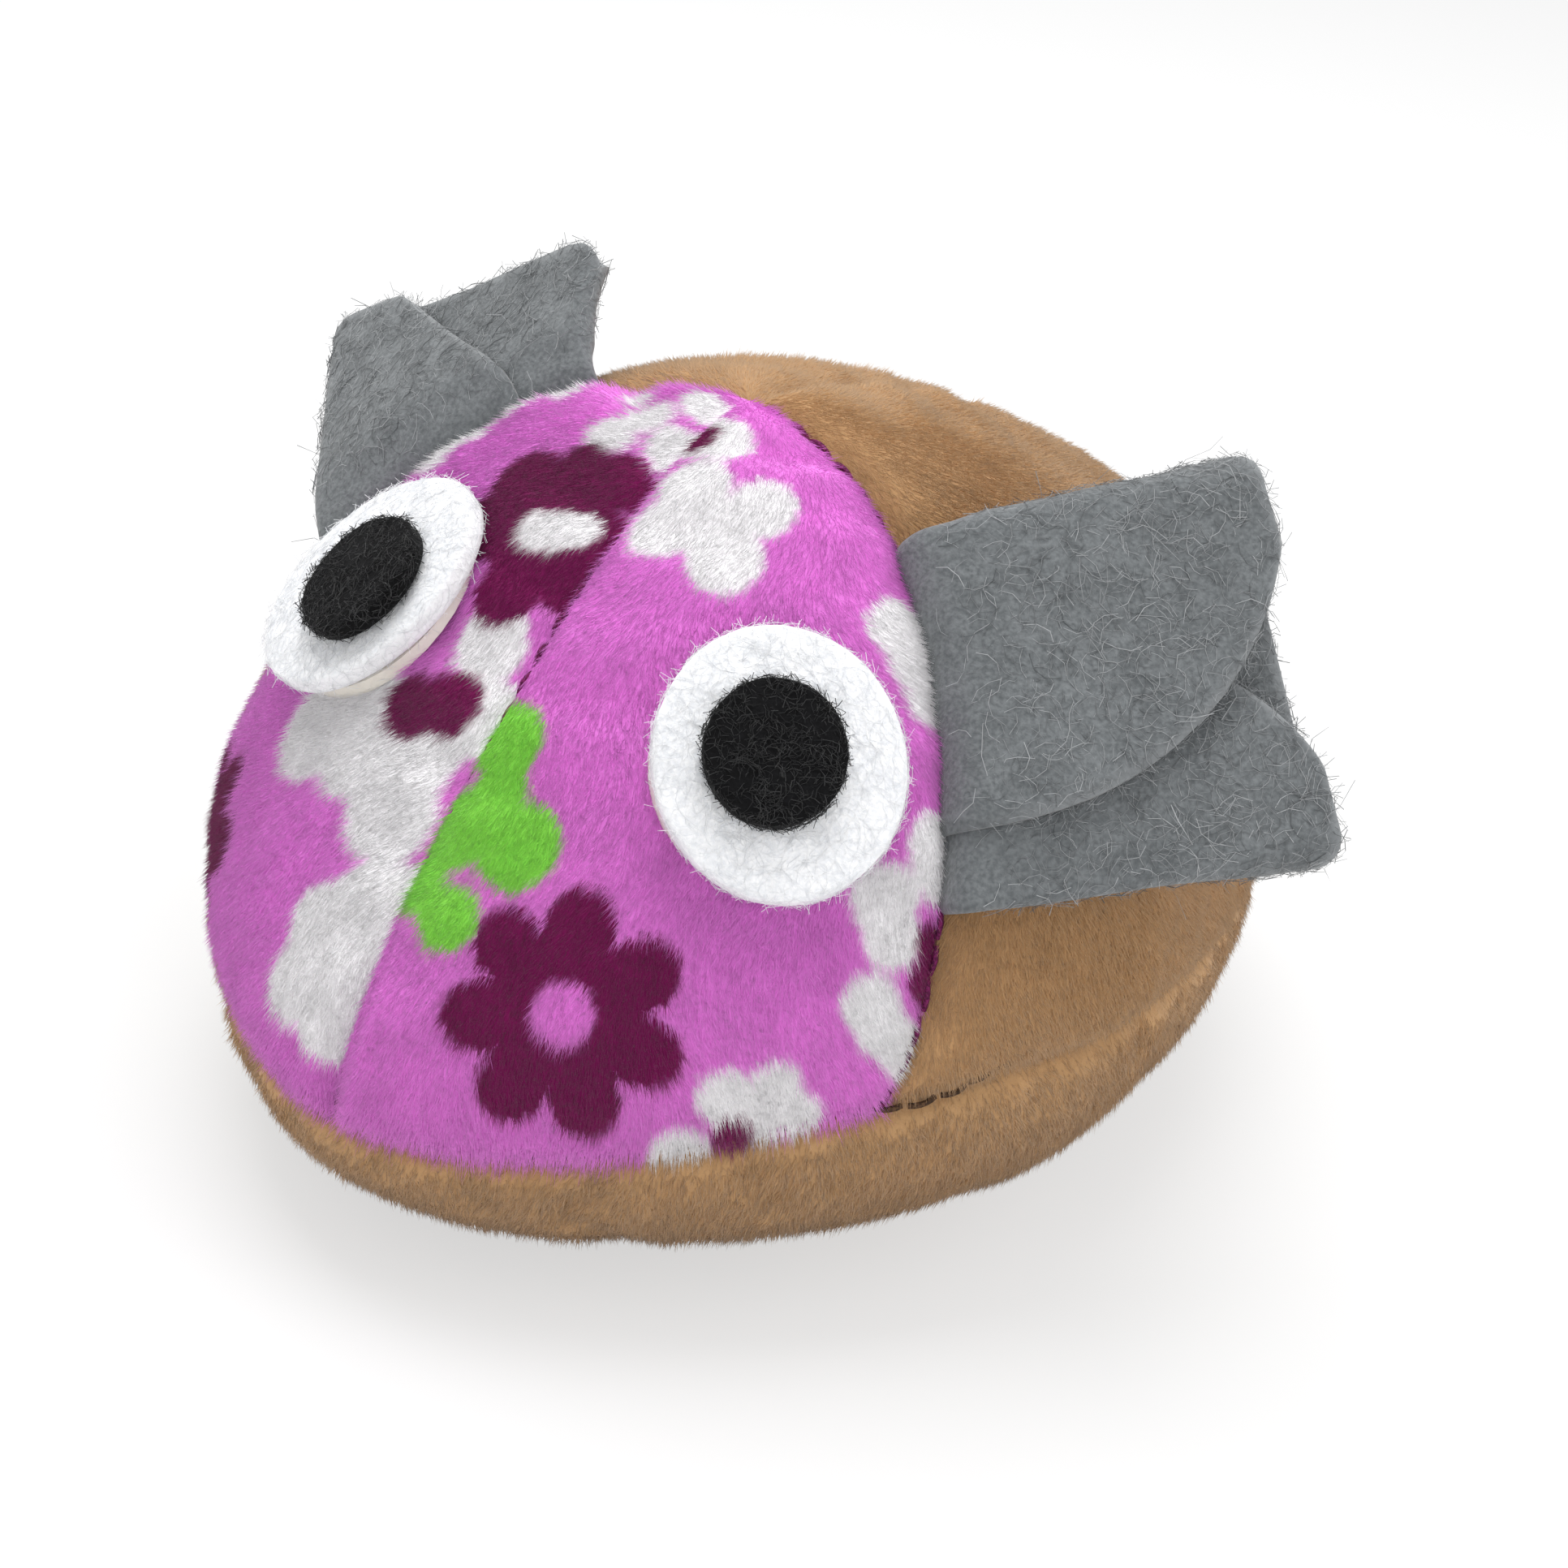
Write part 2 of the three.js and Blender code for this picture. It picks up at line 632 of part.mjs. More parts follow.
// Glue film: fills the space between the face and the white disc, short of the disc's rim.
function eyeGlue(eye, seat) {
  const rings = [];
  const ringAt = (radius, heightAt) => {
    const ring = [];
    for (let k = 0; k < DISC_SEGMENTS; k += 1) {
      const turn = (FULL_TURN * k) / DISC_SEGMENTS;
      const x = radius * Math.cos(turn);
      const y = radius * Math.sin(turn);
      ring.push(new THREE.Vector3(x, y, heightAt(x, y)));
    }
    return ring;
  };
  const onFace = (x, y) => faceHeight(eye, x, y) + CLEARANCE;
  const underDisc = (x, y) => seat - CLEARANCE - (x * x + y * y) / (2 * EYE_BEND_RADIUS);
  for (const share of [0.35, 0.7, 1]) rings.push(ringAt(GLUE_RADIUS * share, onFace));
  for (const share of [1, 0.7, 0.35]) rings.push(ringAt(GLUE_RADIUS * share, underDisc));
  const first = new THREE.Vector3(0, 0, onFace(0, 0));
  const last = new THREE.Vector3(0, 0, underDisc(0, 0));
  return ringSolid(rings, first, last);
}

const toy = new THREE.Group();

function addMesh(name, geometry, look) {
  const mesh = new THREE.Mesh(geometry, look);
  mesh.name = name;
  toy.add(mesh);
  return mesh;
}

// Cover: two face halves, two sides and the base, with slots where the ears pass the neck seam.
const facePanel = upperPanel(() => FRONT, neckAngle, FACE_COLUMNS);
const sidePanel = upperPanel(neckAngle, () => BACK, SIDE_COLUMNS);
const leftSlot = earRoot(LEFT_EAR, CLEARANCE);
const rightSlot = earRoot(RIGHT_EAR, CLEARANCE);
addMesh("face_panel_left", cut(facePanel, [leftSlot]), FLORAL_PLUSH);
addMesh("face_panel_right", mirrored(cut(facePanel, [rightSlot])), FLORAL_PLUSH);
addMesh("side_panel_left", cut(sidePanel, [leftSlot]), BROWN_PLUSH);
addMesh("side_panel_right", mirrored(cut(sidePanel, [rightSlot])), BROWN_PLUSH);
addMesh("base_panel", basePanel(), BROWN_PLUSH);
addMesh("stuffing", cut(filling(), [leftSlot, mirrored(rightSlot)]), FIBRE);

// Threads of the six seams.
const neckThreads = { left: neckThread(LEFT_EAR), right: neckThread(RIGHT_EAR) };
addMesh("face_centre_thread", straightThread(FRONT), PLUM_THREAD);
addMesh("back_centre_thread", straightThread(BACK), BROWN_THREAD);
addMesh("neck_thread_left", neckThreads.left, PLUM_THREAD);
addMesh("neck_thread_right", mirrored(mergeVertices(neckThreads.right)), PLUM_THREAD);
addMesh("base_thread", baseThread(), BROWN_THREAD);

// Ears. Each turns about the straight line of its sewn root; a positive turn lifts it off the body.
for (const [side, ear] of [["left", LEFT_EAR], ["right", RIGHT_EAR]]) {
  const turned = (geometry) => (side === "left" ? geometry : mirrored(geometry));
  const frame = earFrame(ear);
  const felt = addMesh(`ear_${side}`, turned(earFelt(ear)), GREY_FELT);
  addMesh(`ear_root_${side}`, turned(earRoot(ear, 0)), GREY_FELT);
  const axis = frame.along.clone().negate();
  const point = frame.origin.clone();
  if (side === "right") {
    point.x *= -1;
    axis.y *= -1;
    axis.z *= -1;
  }
  felt.userData.hinge = { point: point.toArray(), axis: axis.toArray() };
}

// Eyes, each in a group that sits on the face and looks along its own axis.
for (const [side, place] of [["left", LEFT_EYE], ["right", RIGHT_EYE]]) {
  const sign = side === "left" ? 1 : -1;
  const eye = eyeFrame(place);
  const seat = eyeSeat(eye);
  const flip = (v) => new THREE.Vector3(v.x * sign, v.y, v.z);
  const look = flip(eye.look);
  const rise = flip(eye.rise);
  const across = new THREE.Vector3().crossVectors(rise, look);
  const group = new THREE.Group();
  group.position.copy(flip(eye.middle));
  group.quaternion.setFromRotationMatrix(new THREE.Matrix4().makeBasis(across, rise, look));
  toy.add(group);
  const glue = eyeGlue(eye, seat);
  const white = addMesh(`eye_white_${side}`, feltDisc(EYE_RADIUS, seat, seat + EYE_THICKNESS), WHITE_FELT);
  const film = addMesh(`eye_glue_${side}`, sign > 0 ? glue : mirrored(glue), GLUE);
  const low = seat + EYE_THICKNESS + CLEARANCE;
  const pupil = addMesh(`pupil_${side}`, feltDisc(PUPIL_RADIUS, low, low + PUPIL_THICKNESS), BLACK_FELT);
  pupil.position.set(sign * place.pupilAside, place.pupilLift, 0);
  group.add(white, film, pupil);
}

export default toy;
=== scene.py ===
import math

import bpy
import numpy as np
from mathutils import Matrix


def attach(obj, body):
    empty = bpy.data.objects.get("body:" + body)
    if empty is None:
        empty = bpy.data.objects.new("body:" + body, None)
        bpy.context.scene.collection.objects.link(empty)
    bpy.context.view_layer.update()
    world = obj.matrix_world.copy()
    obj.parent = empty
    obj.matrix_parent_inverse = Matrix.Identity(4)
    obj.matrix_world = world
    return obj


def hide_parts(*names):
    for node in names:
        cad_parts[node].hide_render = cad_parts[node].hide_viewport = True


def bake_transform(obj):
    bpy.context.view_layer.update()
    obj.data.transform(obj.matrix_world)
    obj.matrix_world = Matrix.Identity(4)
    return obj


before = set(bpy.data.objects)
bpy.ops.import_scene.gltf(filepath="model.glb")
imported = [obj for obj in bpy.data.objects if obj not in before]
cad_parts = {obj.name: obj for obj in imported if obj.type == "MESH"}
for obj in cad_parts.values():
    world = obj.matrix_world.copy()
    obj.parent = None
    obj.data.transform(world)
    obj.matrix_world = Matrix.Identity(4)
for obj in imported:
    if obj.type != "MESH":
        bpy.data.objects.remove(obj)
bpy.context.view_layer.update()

# Sewn cover: five panels of short-pile plush, sewn face to face, turned and stuffed hard, so that each swells
# between its seams. A place on the cover is phi, the turn round the body from the toy's left, and rise: 0 on
# the base seam, 1 at the crown, -1 at the edge of the flat it rests on.
HALF_WIDTH = 0.044
CROWN_TO_NOSE = 0.0452
CROWN_TO_RUMP = 0.0685
BODY_HEIGHT = 0.0633
REST_HALF_WIDTH = 0.0185
SEAM_HEIGHT = {"nose": 0.0136, "side": 0.0236, "rump": 0.020}
UPRIGHT = {"nose": 0.30, "side": 0.23, "rump": 0.63}
CROWN_LEVEL = {"nose": 0.30, "side": 0.52, "rump": 0.34}
PLAN_POWER = {"nose": 1.68, "rump": 1.9}
PLAN_SOFTNESS = 0.08
REAR_START = -0.25
REAR_FADE = 0.5
BASE_UPRIGHT = 0.5
BASE_SPREAD = 0.75
NECK_LEAD = {"base": 32.3, "middle": 18.75, "crown": 1.0}
CROWN_Y = (CROWN_TO_NOSE - CROWN_TO_RUMP) / 2
FRONT = -math.pi / 2
BACK = math.pi / 2
TURN = 2 * math.pi
NEAR_POLE = 0.995
PLACE_STEP = 0.002


def mix(a, b, t):
    return a + (b - a) * t


def smooth(t):
    return t * t * (3 - 2 * t)


def ramp(value, start, width):
    """Soft step from 0 to 1 over a width from the start."""
    return smooth(np.clip((value - start) / width, 0, 1))


def bell(distance, width):
    """Bell of height 1 round a distance of 0."""
    return np.exp(-((distance / width) ** 2))


def unit(vectors):
    return vectors / np.linalg.norm(vectors, axis=-1, keepdims=True)


def from_axis(points):
    """Distance from the upright line through the crown."""
    return np.hypot(points[..., 0], points[..., 1] - CROWN_Y)


def puffed(phi, rise):
    """Points of the stuffed outline, without the swelling between the seams."""
    phi, rise = np.broadcast_arrays(np.asarray(phi, float), np.asarray(rise, float))
    s = np.sin(phi)

    def around(sizes):
        return mix(sizes["side"], np.where(s < 0, sizes["nose"], sizes["rump"]), s * s)

    rear = ramp(s, REAR_START, REAR_FADE)
    power = mix(PLAN_POWER["nose"], PLAN_POWER["rump"], rear)
    across = (np.hypot(np.cos(phi), PLAN_SOFTNESS) / HALF_WIDTH) ** power
    along = (np.hypot(s, PLAN_SOFTNESS) / mix(CROWN_TO_NOSE, CROWN_TO_RUMP, rear)) ** power
    plan = (across + along) ** (-1 / power)
    seam = around(SEAM_HEIGHT)
    t = np.abs(rise)
    u = 1 - t
    held = u**3 + 3 * u * u * t
    above = held + 3 * u * t * t * around(CROWN_LEVEL)
    below = held + 3 * u * t * t * BASE_SPREAD + t**3 * REST_HALF_WIDTH / HALF_WIDTH
    climb = 3 * u * u * t * around(UPRIGHT) + 3 * u * t * t + t**3
    reach = plan * np.where(rise >= 0, above, below)
    high = seam + (BODY_HEIGHT - seam) * climb
    low = seam * (u**3 + 3 * u * u * t * (1 - BASE_UPRIGHT))
    height = np.where(rise >= 0, high, low)
    return np.stack([np.cos(phi) * reach, CROWN_Y + np.sin(phi) * reach, height], -1)


def upward(phi, rise):
    """Direction up along the cover."""
    at = np.clip(rise, -NEAR_POLE, NEAR_POLE)
    return unit(puffed(phi, at + PLACE_STEP) - puffed(phi, at - PLACE_STEP))


def outward(phi, rise):
    """Direction off the cover."""
    at = np.clip(rise, -NEAR_POLE, NEAR_POLE)
    return unit(np.cross(puffed(phi + PLACE_STEP, at) - puffed(phi - PLACE_STEP, at), upward(phi, rise)))


def neck_turn(rise):
    """Turn of the neck seam on the toy's left side."""
    u = 1 - rise
    lead = NECK_LEAD["base"] * u * u + NECK_LEAD["middle"] * 2 * u * rise + NECK_LEAD["crown"] * rise * rise
    return -np.radians(lead)


def seam_distance(phi, rise):
    """Distance along the cloth to the nearest seam."""
    points = puffed(phi, rise)
    neck = neck_turn(np.clip(rise, 0, 1))
    turns = [abs((phi - seam + math.pi) % TURN - math.pi) for seam in (FRONT, BACK, neck, math.pi - neck)]
    to_base = np.linalg.norm(points - puffed(phi, 0 * rise), axis=-1)
    return np.where(rise >= 0, np.minimum(np.min(turns, axis=0) * from_axis(points), to_base), to_base)


def all_round(rises, first_turn, columns):
    """Grid of rises and turns all round the body."""
    turns = np.linspace(first_turn, first_turn + TURN, columns, endpoint=False)
    return np.meshgrid(rises, turns, indexing="ij")


def grid_faces(index):
    """Four-sided faces over a grid of vertex numbers."""
    corners = [index[:-1, :-1], index[:-1, 1:], index[1:, 1:], index[1:, :-1]]
    return np.stack(corners, -1).reshape(-1, 4).tolist()


def ring_solid(rings, first, last):
    """Points and faces of a closed form of stacked rings with a pole at each end."""
    rows, columns = rings.shape[:2]
    points = np.concatenate([rings.reshape(-1, 3), [first, last]])
    index = np.arange(rows * columns).reshape(rows, columns)
    index = np.concatenate([index, index[:, :1]], axis=1)
    faces = grid_faces(index)
    foot, *_, top = index.tolist()
    faces += [(rows * columns, b, a) for a, b in zip(foot, foot[1:])]
    faces += [(rows * columns + 1, a, b) for a, b in zip(top, top[1:])]
    return points, faces


def linked(name, data):
    """New object in the scene."""
    made = bpy.data.objects.new(name, data)
    bpy.context.scene.collection.objects.link(made)
    return made


SWELL_COLUMNS = 112
SWELL_ROWS = 44
SWELL_TOP = 0.985
SWELL_REST = -0.93
CLOTH_DEPTH = 0.0011
SEAM_HOLD = 0.0016
SWELL_FRAMES = 24


def stuffed_swelling():
    """Cloth simulation of the filled cover: how far it moves out between the seams that hold it."""
    rise, phi = all_round(np.linspace(-1, SWELL_TOP, SWELL_ROWS), FRONT, SWELL_COLUMNS)
    normal = outward(phi, rise)
    start = puffed(phi, rise) - normal * CLOTH_DEPTH
    points, faces = ring_solid(start, (0, CROWN_Y, 0), (0, CROWN_Y, start[-1, :, 2].mean()))
    mesh = bpy.data.meshes.new("cover")
    mesh.from_pydata(points.tolist(), [], faces)
    bag = linked("cover", mesh)
    held = np.where(rise < SWELL_REST, 1, bell(seam_distance(phi, rise), SEAM_HOLD))
    sewn = bag.vertex_groups.new(name="sewn")
    for place, weight in enumerate([*held.ravel().tolist(), 1.0, 1.0]):
        sewn.add([place], weight, "REPLACE")
    filled = bag.modifiers.new("filled", "CLOTH")
    filled.collision_settings.use_collision = False
    filled.point_cache.frame_end = SWELL_FRAMES
    cloth = filled.settings
    cloth.vertex_group_mass = "sewn"
    cloth.use_pressure = True
    cloth.uniform_pressure_force = 80
    cloth.tension_stiffness = 3
    cloth.compression_stiffness = 3
    cloth.shear_stiffness = 3
    cloth.bending_stiffness = 2
    cloth.mass = 0.02
    cloth.shrink_min = -0.02
    cloth.quality = 6
    cloth.air_damping = 2
    cloth.effector_weights.gravity = 0
    for step in range(1, SWELL_FRAMES + 1):
        bpy.context.scene.frame_set(step)
    filled_mesh = bag.evaluated_get(bpy.context.evaluated_depsgraph_get()).data
    moved = np.empty((len(filled_mesh.vertices), 3))
    filled_mesh.vertices.foreach_get("co", moved.ravel())
    swollen = moved[: phi.size].reshape(start.shape)
    bpy.data.objects.remove(bag)
    bpy.context.scene.frame_set(1)
    return ((swollen - start) * normal).sum(-1)


SWELLING = stuffed_swelling()


def swelling(phi, rise):
    """Smooth reading of the simulated swelling between its grid points."""
    column = (phi - FRONT) / TURN * SWELL_COLUMNS
    row = np.clip((rise + 1) / (SWELL_TOP + 1) * (SWELL_ROWS - 1), 0, SWELL_ROWS - 1)

    def spline(t):
        return (
            (-t + 2 * t * t - t**3) / 2,
            (2 - 5 * t * t + 3 * t**3) / 2,
            (t + 4 * t * t - 3 * t**3) / 2,
            (-t * t + t**3) / 2,
        )

    first_column = np.floor(column).astype(int)
    first_row = np.floor(row).astype(int)
    total = 0
    for i, down in enumerate(spline(row - first_row)):
        for j, side in enumerate(spline(column - first_column)):
            r = np.clip(first_row + i - 1, 0, SWELL_ROWS - 1)
            total = total + down * side * SWELLING[r, (first_column + j - 1) % SWELL_COLUMNS]
    return total


ROLL_DEPTH = 0.0012
ROLL_WIDTH = 0.0013
FRONT_ROLL = 0.4
FRONT_ROLL_WIDTH = 0.006
FRONT_ROLL_FADE = 0.15
REST_DEPTH = 0.0004
REST_START = 0.7
REST_FADE = 0.25
EAR_PUSH = {"left": 0.0008, "right": 0.0018}
EAR_PUSH_WIDTH = 0.003
EAR_PUSH_RISES = (0.28, 0.86)
EAR_PUSH_FADE = 0.12


def ear_push(phi, rise, points):
    """How far the folded ears push the face up in front of their roots."""
    left = np.cos(phi) > 0
    mirrored = np.where(left, phi, -math.pi - phi)
    mirrored = (mirrored + math.pi) % TURN - math.pi
    ahead = (neck_turn(np.clip(rise, 0, 1)) - mirrored) * from_axis(points)
    first, last = EAR_PUSH_RISES
    beside = ramp(rise, first, EAR_PUSH_FADE) * ramp(-rise, -last, EAR_PUSH_FADE)
    beside = beside * bell(ahead - EAR_PUSH_WIDTH, EAR_PUSH_WIDTH) * (ahead > 0)
    return beside * np.where(left, EAR_PUSH["left"], EAR_PUSH["right"]) * (np.sin(phi) < 0)


def cover(phi, rise):
    """Points of the cloth itself, under its pile, rolled in at the seams."""
    flat = ramp(-rise, REST_START, REST_FADE)
    depth = mix(CLOTH_DEPTH, REST_DEPTH, flat) - swelling(phi, rise) * (1 - flat)
    points = puffed(phi, rise)
    front = bell(points[..., 0], FRONT_ROLL_WIDTH) * ramp(rise, 0, FRONT_ROLL_FADE) * (np.sin(phi) < 0)
    roll = ROLL_DEPTH * mix(1, FRONT_ROLL, front)
    depth = depth + roll * bell(seam_distance(phi, rise), ROLL_WIDTH)
    depth = depth - ear_push(phi, rise, points)
    return points - outward(phi, rise) * depth[..., None]


# Filling: one wad of loose white fibre that carries the cover from inside, soft lumps all over.
# It was pushed in through a gap that was sewn up last.
CLOTH_THICKNESS = 0.0022
FILL_GAP = 0.0006
FILL_LUMP = 0.0005
FILL_LUMP_SIZE = 0.011
FILL_ROWS = 48
FILL_COLUMNS = 96
FILL_TOP = 0.99


def closed_mesh(name, points, faces):
    """Mesh from points and faces, turned so that its faces point out."""
    mesh = bpy.data.meshes.new(name)
    mesh.from_pydata(points.tolist(), [], faces)
    corners = [np.array([face[0], face[k], face[k + 1]]) for face in faces for k in range(1, len(face) - 1)]
    a, b, c = points[np.array(corners)].transpose(1, 0, 2)
    if np.einsum("ij,ij", a, np.cross(b, c)) < 0:
        mesh.flip_normals()
    mesh.shade_smooth()
    return mesh


def ripple(points, size):
    """Soft uneven waves of about the given size, between -1 and 1."""
    x, y, z = np.moveaxis(np.asarray(points) * TURN / size, -1, 0)
    waves = np.sin(x + 0.7 * np.sin(0.61 * y + 1.3)) * np.cos(0.83 * y + 0.6 * np.sin(0.71 * z))
    return (waves + np.sin(0.77 * z + 0.9 * np.sin(0.53 * x + 0.4) + 2.1)) / 2


def added(mesh, material):
    """New piece of the toy with its finish."""
    piece = linked(mesh.name, mesh)
    mesh.materials.clear()
    mesh.materials.append(material)
    return piece


def padded_piece(piece, node):
    """Hangs a padded piece on the body and hides the solid that it stands for."""
    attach(piece, "body")
    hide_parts(node)


class Wire:
    """One output of a node; Python's operators on it add Math nodes."""

    def __init__(self, tree, socket):
        self.tree = tree
        self.socket = socket

    def beside(self, name):
        """Another output of the same node."""
        return Wire(self.tree, next(s for s in self.socket.node.outputs if s.enabled and s.name == name))

    def math(self, operation, *others):
        return self.tree.node("ShaderNodeMath", {"operation": operation}, dict(enumerate((self, *others))))

    def __add__(self, other):
        return self.math("ADD", other)

    def __sub__(self, other):
        return self.math("SUBTRACT", other)

    def __rsub__(self, other):
        return self.tree.node("ShaderNodeMath", {"operation": "SUBTRACT"}, {0: other, 1: self})

    def __mul__(self, other):
        return self.math("MULTIPLY", other)

    def __truediv__(self, other):
        return self.math("DIVIDE", other)

    def __pow__(self, other):
        return self.math("POWER", other)

    def __abs__(self):
        return self.math("ABSOLUTE")


class Tree:
    """A node tree that grows by one node at a time."""

    def __init__(self, tree):
        self.tree = tree

    def node(self, kind, settings=None, inputs=None, output=None):
        made = self.tree.nodes.new(kind)
        for name, value in (settings or {}).items():
            setattr(made, name, value)
        for key, value in (inputs or {}).items():
            named = (s for s in made.inputs if s.enabled and s.name == key)
            socket = made.inputs[key] if isinstance(key, int) else next(named)
            if isinstance(value, Wire):
                self.tree.links.new(value.socket, socket)
            else:
                socket.default_value = value
        outputs = [s for s in made.outputs if s.enabled and output in (None, s.name)]
        return Wire(self, outputs[0]) if outputs else None

    def vector(self, operation, *values, output=None):
        return self.node("ShaderNodeVectorMath", {"operation": operation}, dict(enumerate(values)), output)

    def measure(self, operation, *values):
        """Number from vectors, such as a distance."""
        return self.vector(operation, *values, output="Value")

    def part(self, vector, axis):
        return self.node("ShaderNodeSeparateXYZ", {}, {0: vector}, axis)

    def colour_mix(self, share, first, second, blend="MIX"):
        settings = {"data_type": "RGBA", "blend_type": blend}
        return self.node("ShaderNodeMix", settings, {"Factor": share, "A": first, "B": second})

    def step(self, value, low, high):
        """Soft step from 0 to 1 as the value goes from low to high."""
        settings = {"interpolation_type": "SMOOTHSTEP"}
        return self.node("ShaderNodeMapRange", settings, {"Value": value, "From Min": low, "From Max": high})

    def noise(self, per_metre, detail=3.0):
        place = self.node("ShaderNodeTexCoord", output="Object")
        return self.node("ShaderNodeTexNoise", {}, {"Vector": place, "Scale": per_metre, "Detail": detail})

    def drift(self, per_metre, detail, place):
        """Small random vector that changes softly from place to place."""
        inputs = {"Vector": place, "Scale": per_metre, "Detail": detail}
        return self.vector("SUBTRACT", self.node("ShaderNodeTexNoise", {}, inputs, "Color"), (0.5, 0.5, 0.5))

    def attribute(self, name, output="Fac"):
        return self.node("ShaderNodeAttribute", {"attribute_name": name}, output=output)


def bare_tree(owner):
    """Emptied node tree of a material or world."""
    owner.use_nodes = True
    owner.node_tree.nodes.clear()
    return Tree(owner.node_tree)


def dye(red, green, blue):
    """Colour as the shader takes it, from the 0 to 255 values that a screen shows."""
    parts = [v / 255 for v in (red, green, blue)]
    return (*[v / 12.92 if v < 0.04045 else ((v + 0.055) / 1.055) ** 2.4 for v in parts], 1.0)


def finish(name, colour_of, bump_of=None, roughness=0.95, sheen=0.0, bump_depth=0.0002):
    """Material of one finish; colour_of and bump_of build their part of its node tree."""
    material = bpy.data.materials.new(name)
    tree = bare_tree(material)
    sockets = {"Base Color": colour_of(tree), "Roughness": roughness, "Specular IOR Level": 0.2}
    if sheen:
        sockets |= {"Sheen Weight": sheen, "Sheen Roughness": 0.5}
    if bump_of:
        bump = {"Height": bump_of(tree), "Strength": 0.7, "Distance": bump_depth}
        sockets["Normal"] = tree.node("ShaderNodeBump", {}, bump)
    surface = tree.node("ShaderNodeBsdfPrincipled", {}, sockets)
    tree.node("ShaderNodeOutputMaterial", {}, {"Surface": surface})
    return material


def fibre_colour(tree):
    strands = tree.noise(1500.0, 6.0)
    return tree.colour_mix(tree.step(strands, 0.35, 0.65), dye(214, 212, 204), dye(243, 242, 238))


FIBRE = finish("fibre filling", fibre_colour, lambda tree: tree.noise(2500.0, 5.0), bump_depth=0.0004)

fill_rise, fill_phi = all_round(np.linspace(-1, FILL_TOP, FILL_ROWS), 0, FILL_COLUMNS)
fill_depth = CLOTH_THICKNESS + FILL_GAP + FILL_LUMP
fill_rings = cover(fill_phi, fill_rise)
fill_lumps = FILL_LUMP * ripple(fill_rings, FILL_LUMP_SIZE) - fill_depth
fill_rings = fill_rings + outward(fill_phi, fill_rise) * fill_lumps[..., None]
fill_poles = [np.array([0, CROWN_Y, ring[:, 2].mean()]) for ring in (fill_rings[0], fill_rings[-1])]
filling = added(closed_mesh("filling", *ring_solid(fill_rings, *fill_poles)), FIBRE)
padded_piece(filling, "stuffing")

# Face: two halves of lilac plush with a printed flower pattern, joined by a seam from the crown to the nose.
# The knitted cloth carries a dense pile of fine strands that leans down over the face and hides the seams.
PANEL_FOOT = 0.004
PANEL_TOP = 0.995
SEAM_CLEAR = 0.00012
PANEL_GATHER = 0.72
PANEL_ROWS = 96
FACE_COLUMNS = 84
FACE_STRANDS = 30.0
PILE_LENGTH = 0.0015
PILE_RADIUS = 0.00004
PILE_LEAN = 2.2
PILE_CLUMP = 1.4
PILE_SCATTER = 0.75
PILE_SPREAD = (0.65, 1.1)
PILE_FLOOR = 0.0001
NAP_TURN = 0.55
NAP_SIZE = 0.019
SEAM_PILE = 0.6
SEAM_PILE_REACH = 0.03
# Painted shade at the roots of the pile's strands and painted light at their tips, as shares of the dyed
# colour.
ROOT_PAINTED_SHADE = 0.78
TIP_PAINTED_LIGHT = 0.25
STRAND_LIGHT = 0.16
MOTTLE = 0.36
SEAM_TURNS = {"front": FRONT, "back": BACK}


def seam_turn(seam, side, rise):
    """Turn of the front, neck or back seam, as its panel on the toy's left or right side meets it."""
    turn = neck_turn(rise) if seam == "neck" else np.full_like(rise, SEAM_TURNS[seam])
    return turn if side == "left" else -math.pi - turn


def gathered(count):
    """Shares from 0 to 1 that lie closer together at both ends, where the cloth rolls in."""
    t = np.linspace(0, 1, count)
    return t - PANEL_GATHER * np.sin(TURN * t) / TURN


def set_attribute(mesh, name, values):
    vector = values.ndim == 2
    layer = mesh.attributes.new(name, "FLOAT_VECTOR" if vector else "FLOAT", "POINT")
    layer.data.foreach_set("vector" if vector else "value", np.asarray(values, np.float32).ravel())


def nap(phi, rise):
    """Way the pile leans: down over the body, turning a little from place to place."""
    down = -upward(phi, rise)
    aside = np.cross(outward(phi, rise), down)
    turn = NAP_TURN * ripple(puffed(phi, rise), NAP_SIZE)[..., None]
    return down * np.cos(turn) + aside * np.sin(turn)


def upper_grid(side, from_seam, to_seam, columns):
    """Turns and rises of a panel between two seams, from the base seam to the crown."""
    rise = mix(PANEL_FOOT, PANEL_TOP, gathered(PANEL_ROWS))[:, None]
    first = seam_turn(from_seam, side, rise)
    last = seam_turn(to_seam, side, rise)
    clear = SEAM_CLEAR / from_axis(puffed((first + last) / 2, rise)) * np.sign(last - first)
    phi = mix(first + clear, last - clear, gathered(columns)[None])
    return phi, np.broadcast_to(rise, phi.shape)


def sheet_mesh(name, outer, inner):
    """Closed sheet between two grids of points, joined along its four edges."""
    index = np.arange(outer[..., 0].size).reshape(outer.shape[:2])
    under = index + index.size
    faces = grid_faces(index) + grid_faces(under[:, ::-1])
    faces += grid_faces(np.stack([under[0], index[0]]))
    faces += grid_faces(np.stack([index[-1], under[-1]]))
    faces += grid_faces(np.stack([index[:, 0], under[:, 0]]))
    faces += grid_faces(np.stack([under[:, -1], index[:, -1]]))
    return closed_mesh(name, np.concatenate([outer.reshape(-1, 3), inner.reshape(-1, 3)]), faces)


def cloth_panel(name, phi, rise, material):
    """Closed cloth of one panel, its edges turned in at the seams."""
    outer = cover(phi, rise)
    mesh = sheet_mesh(name, outer, outer - outward(phi, rise) * CLOTH_THICKNESS)
    set_attribute(mesh, "print", np.tile(puffed(phi, rise).reshape(-1, 3), (2, 1)))
    # Without a tip value the cloth takes the painted shade of the pile's roots.
    set_attribute(mesh, "shade", np.full(2 * phi.size, 0.5))
    return added(mesh, material)


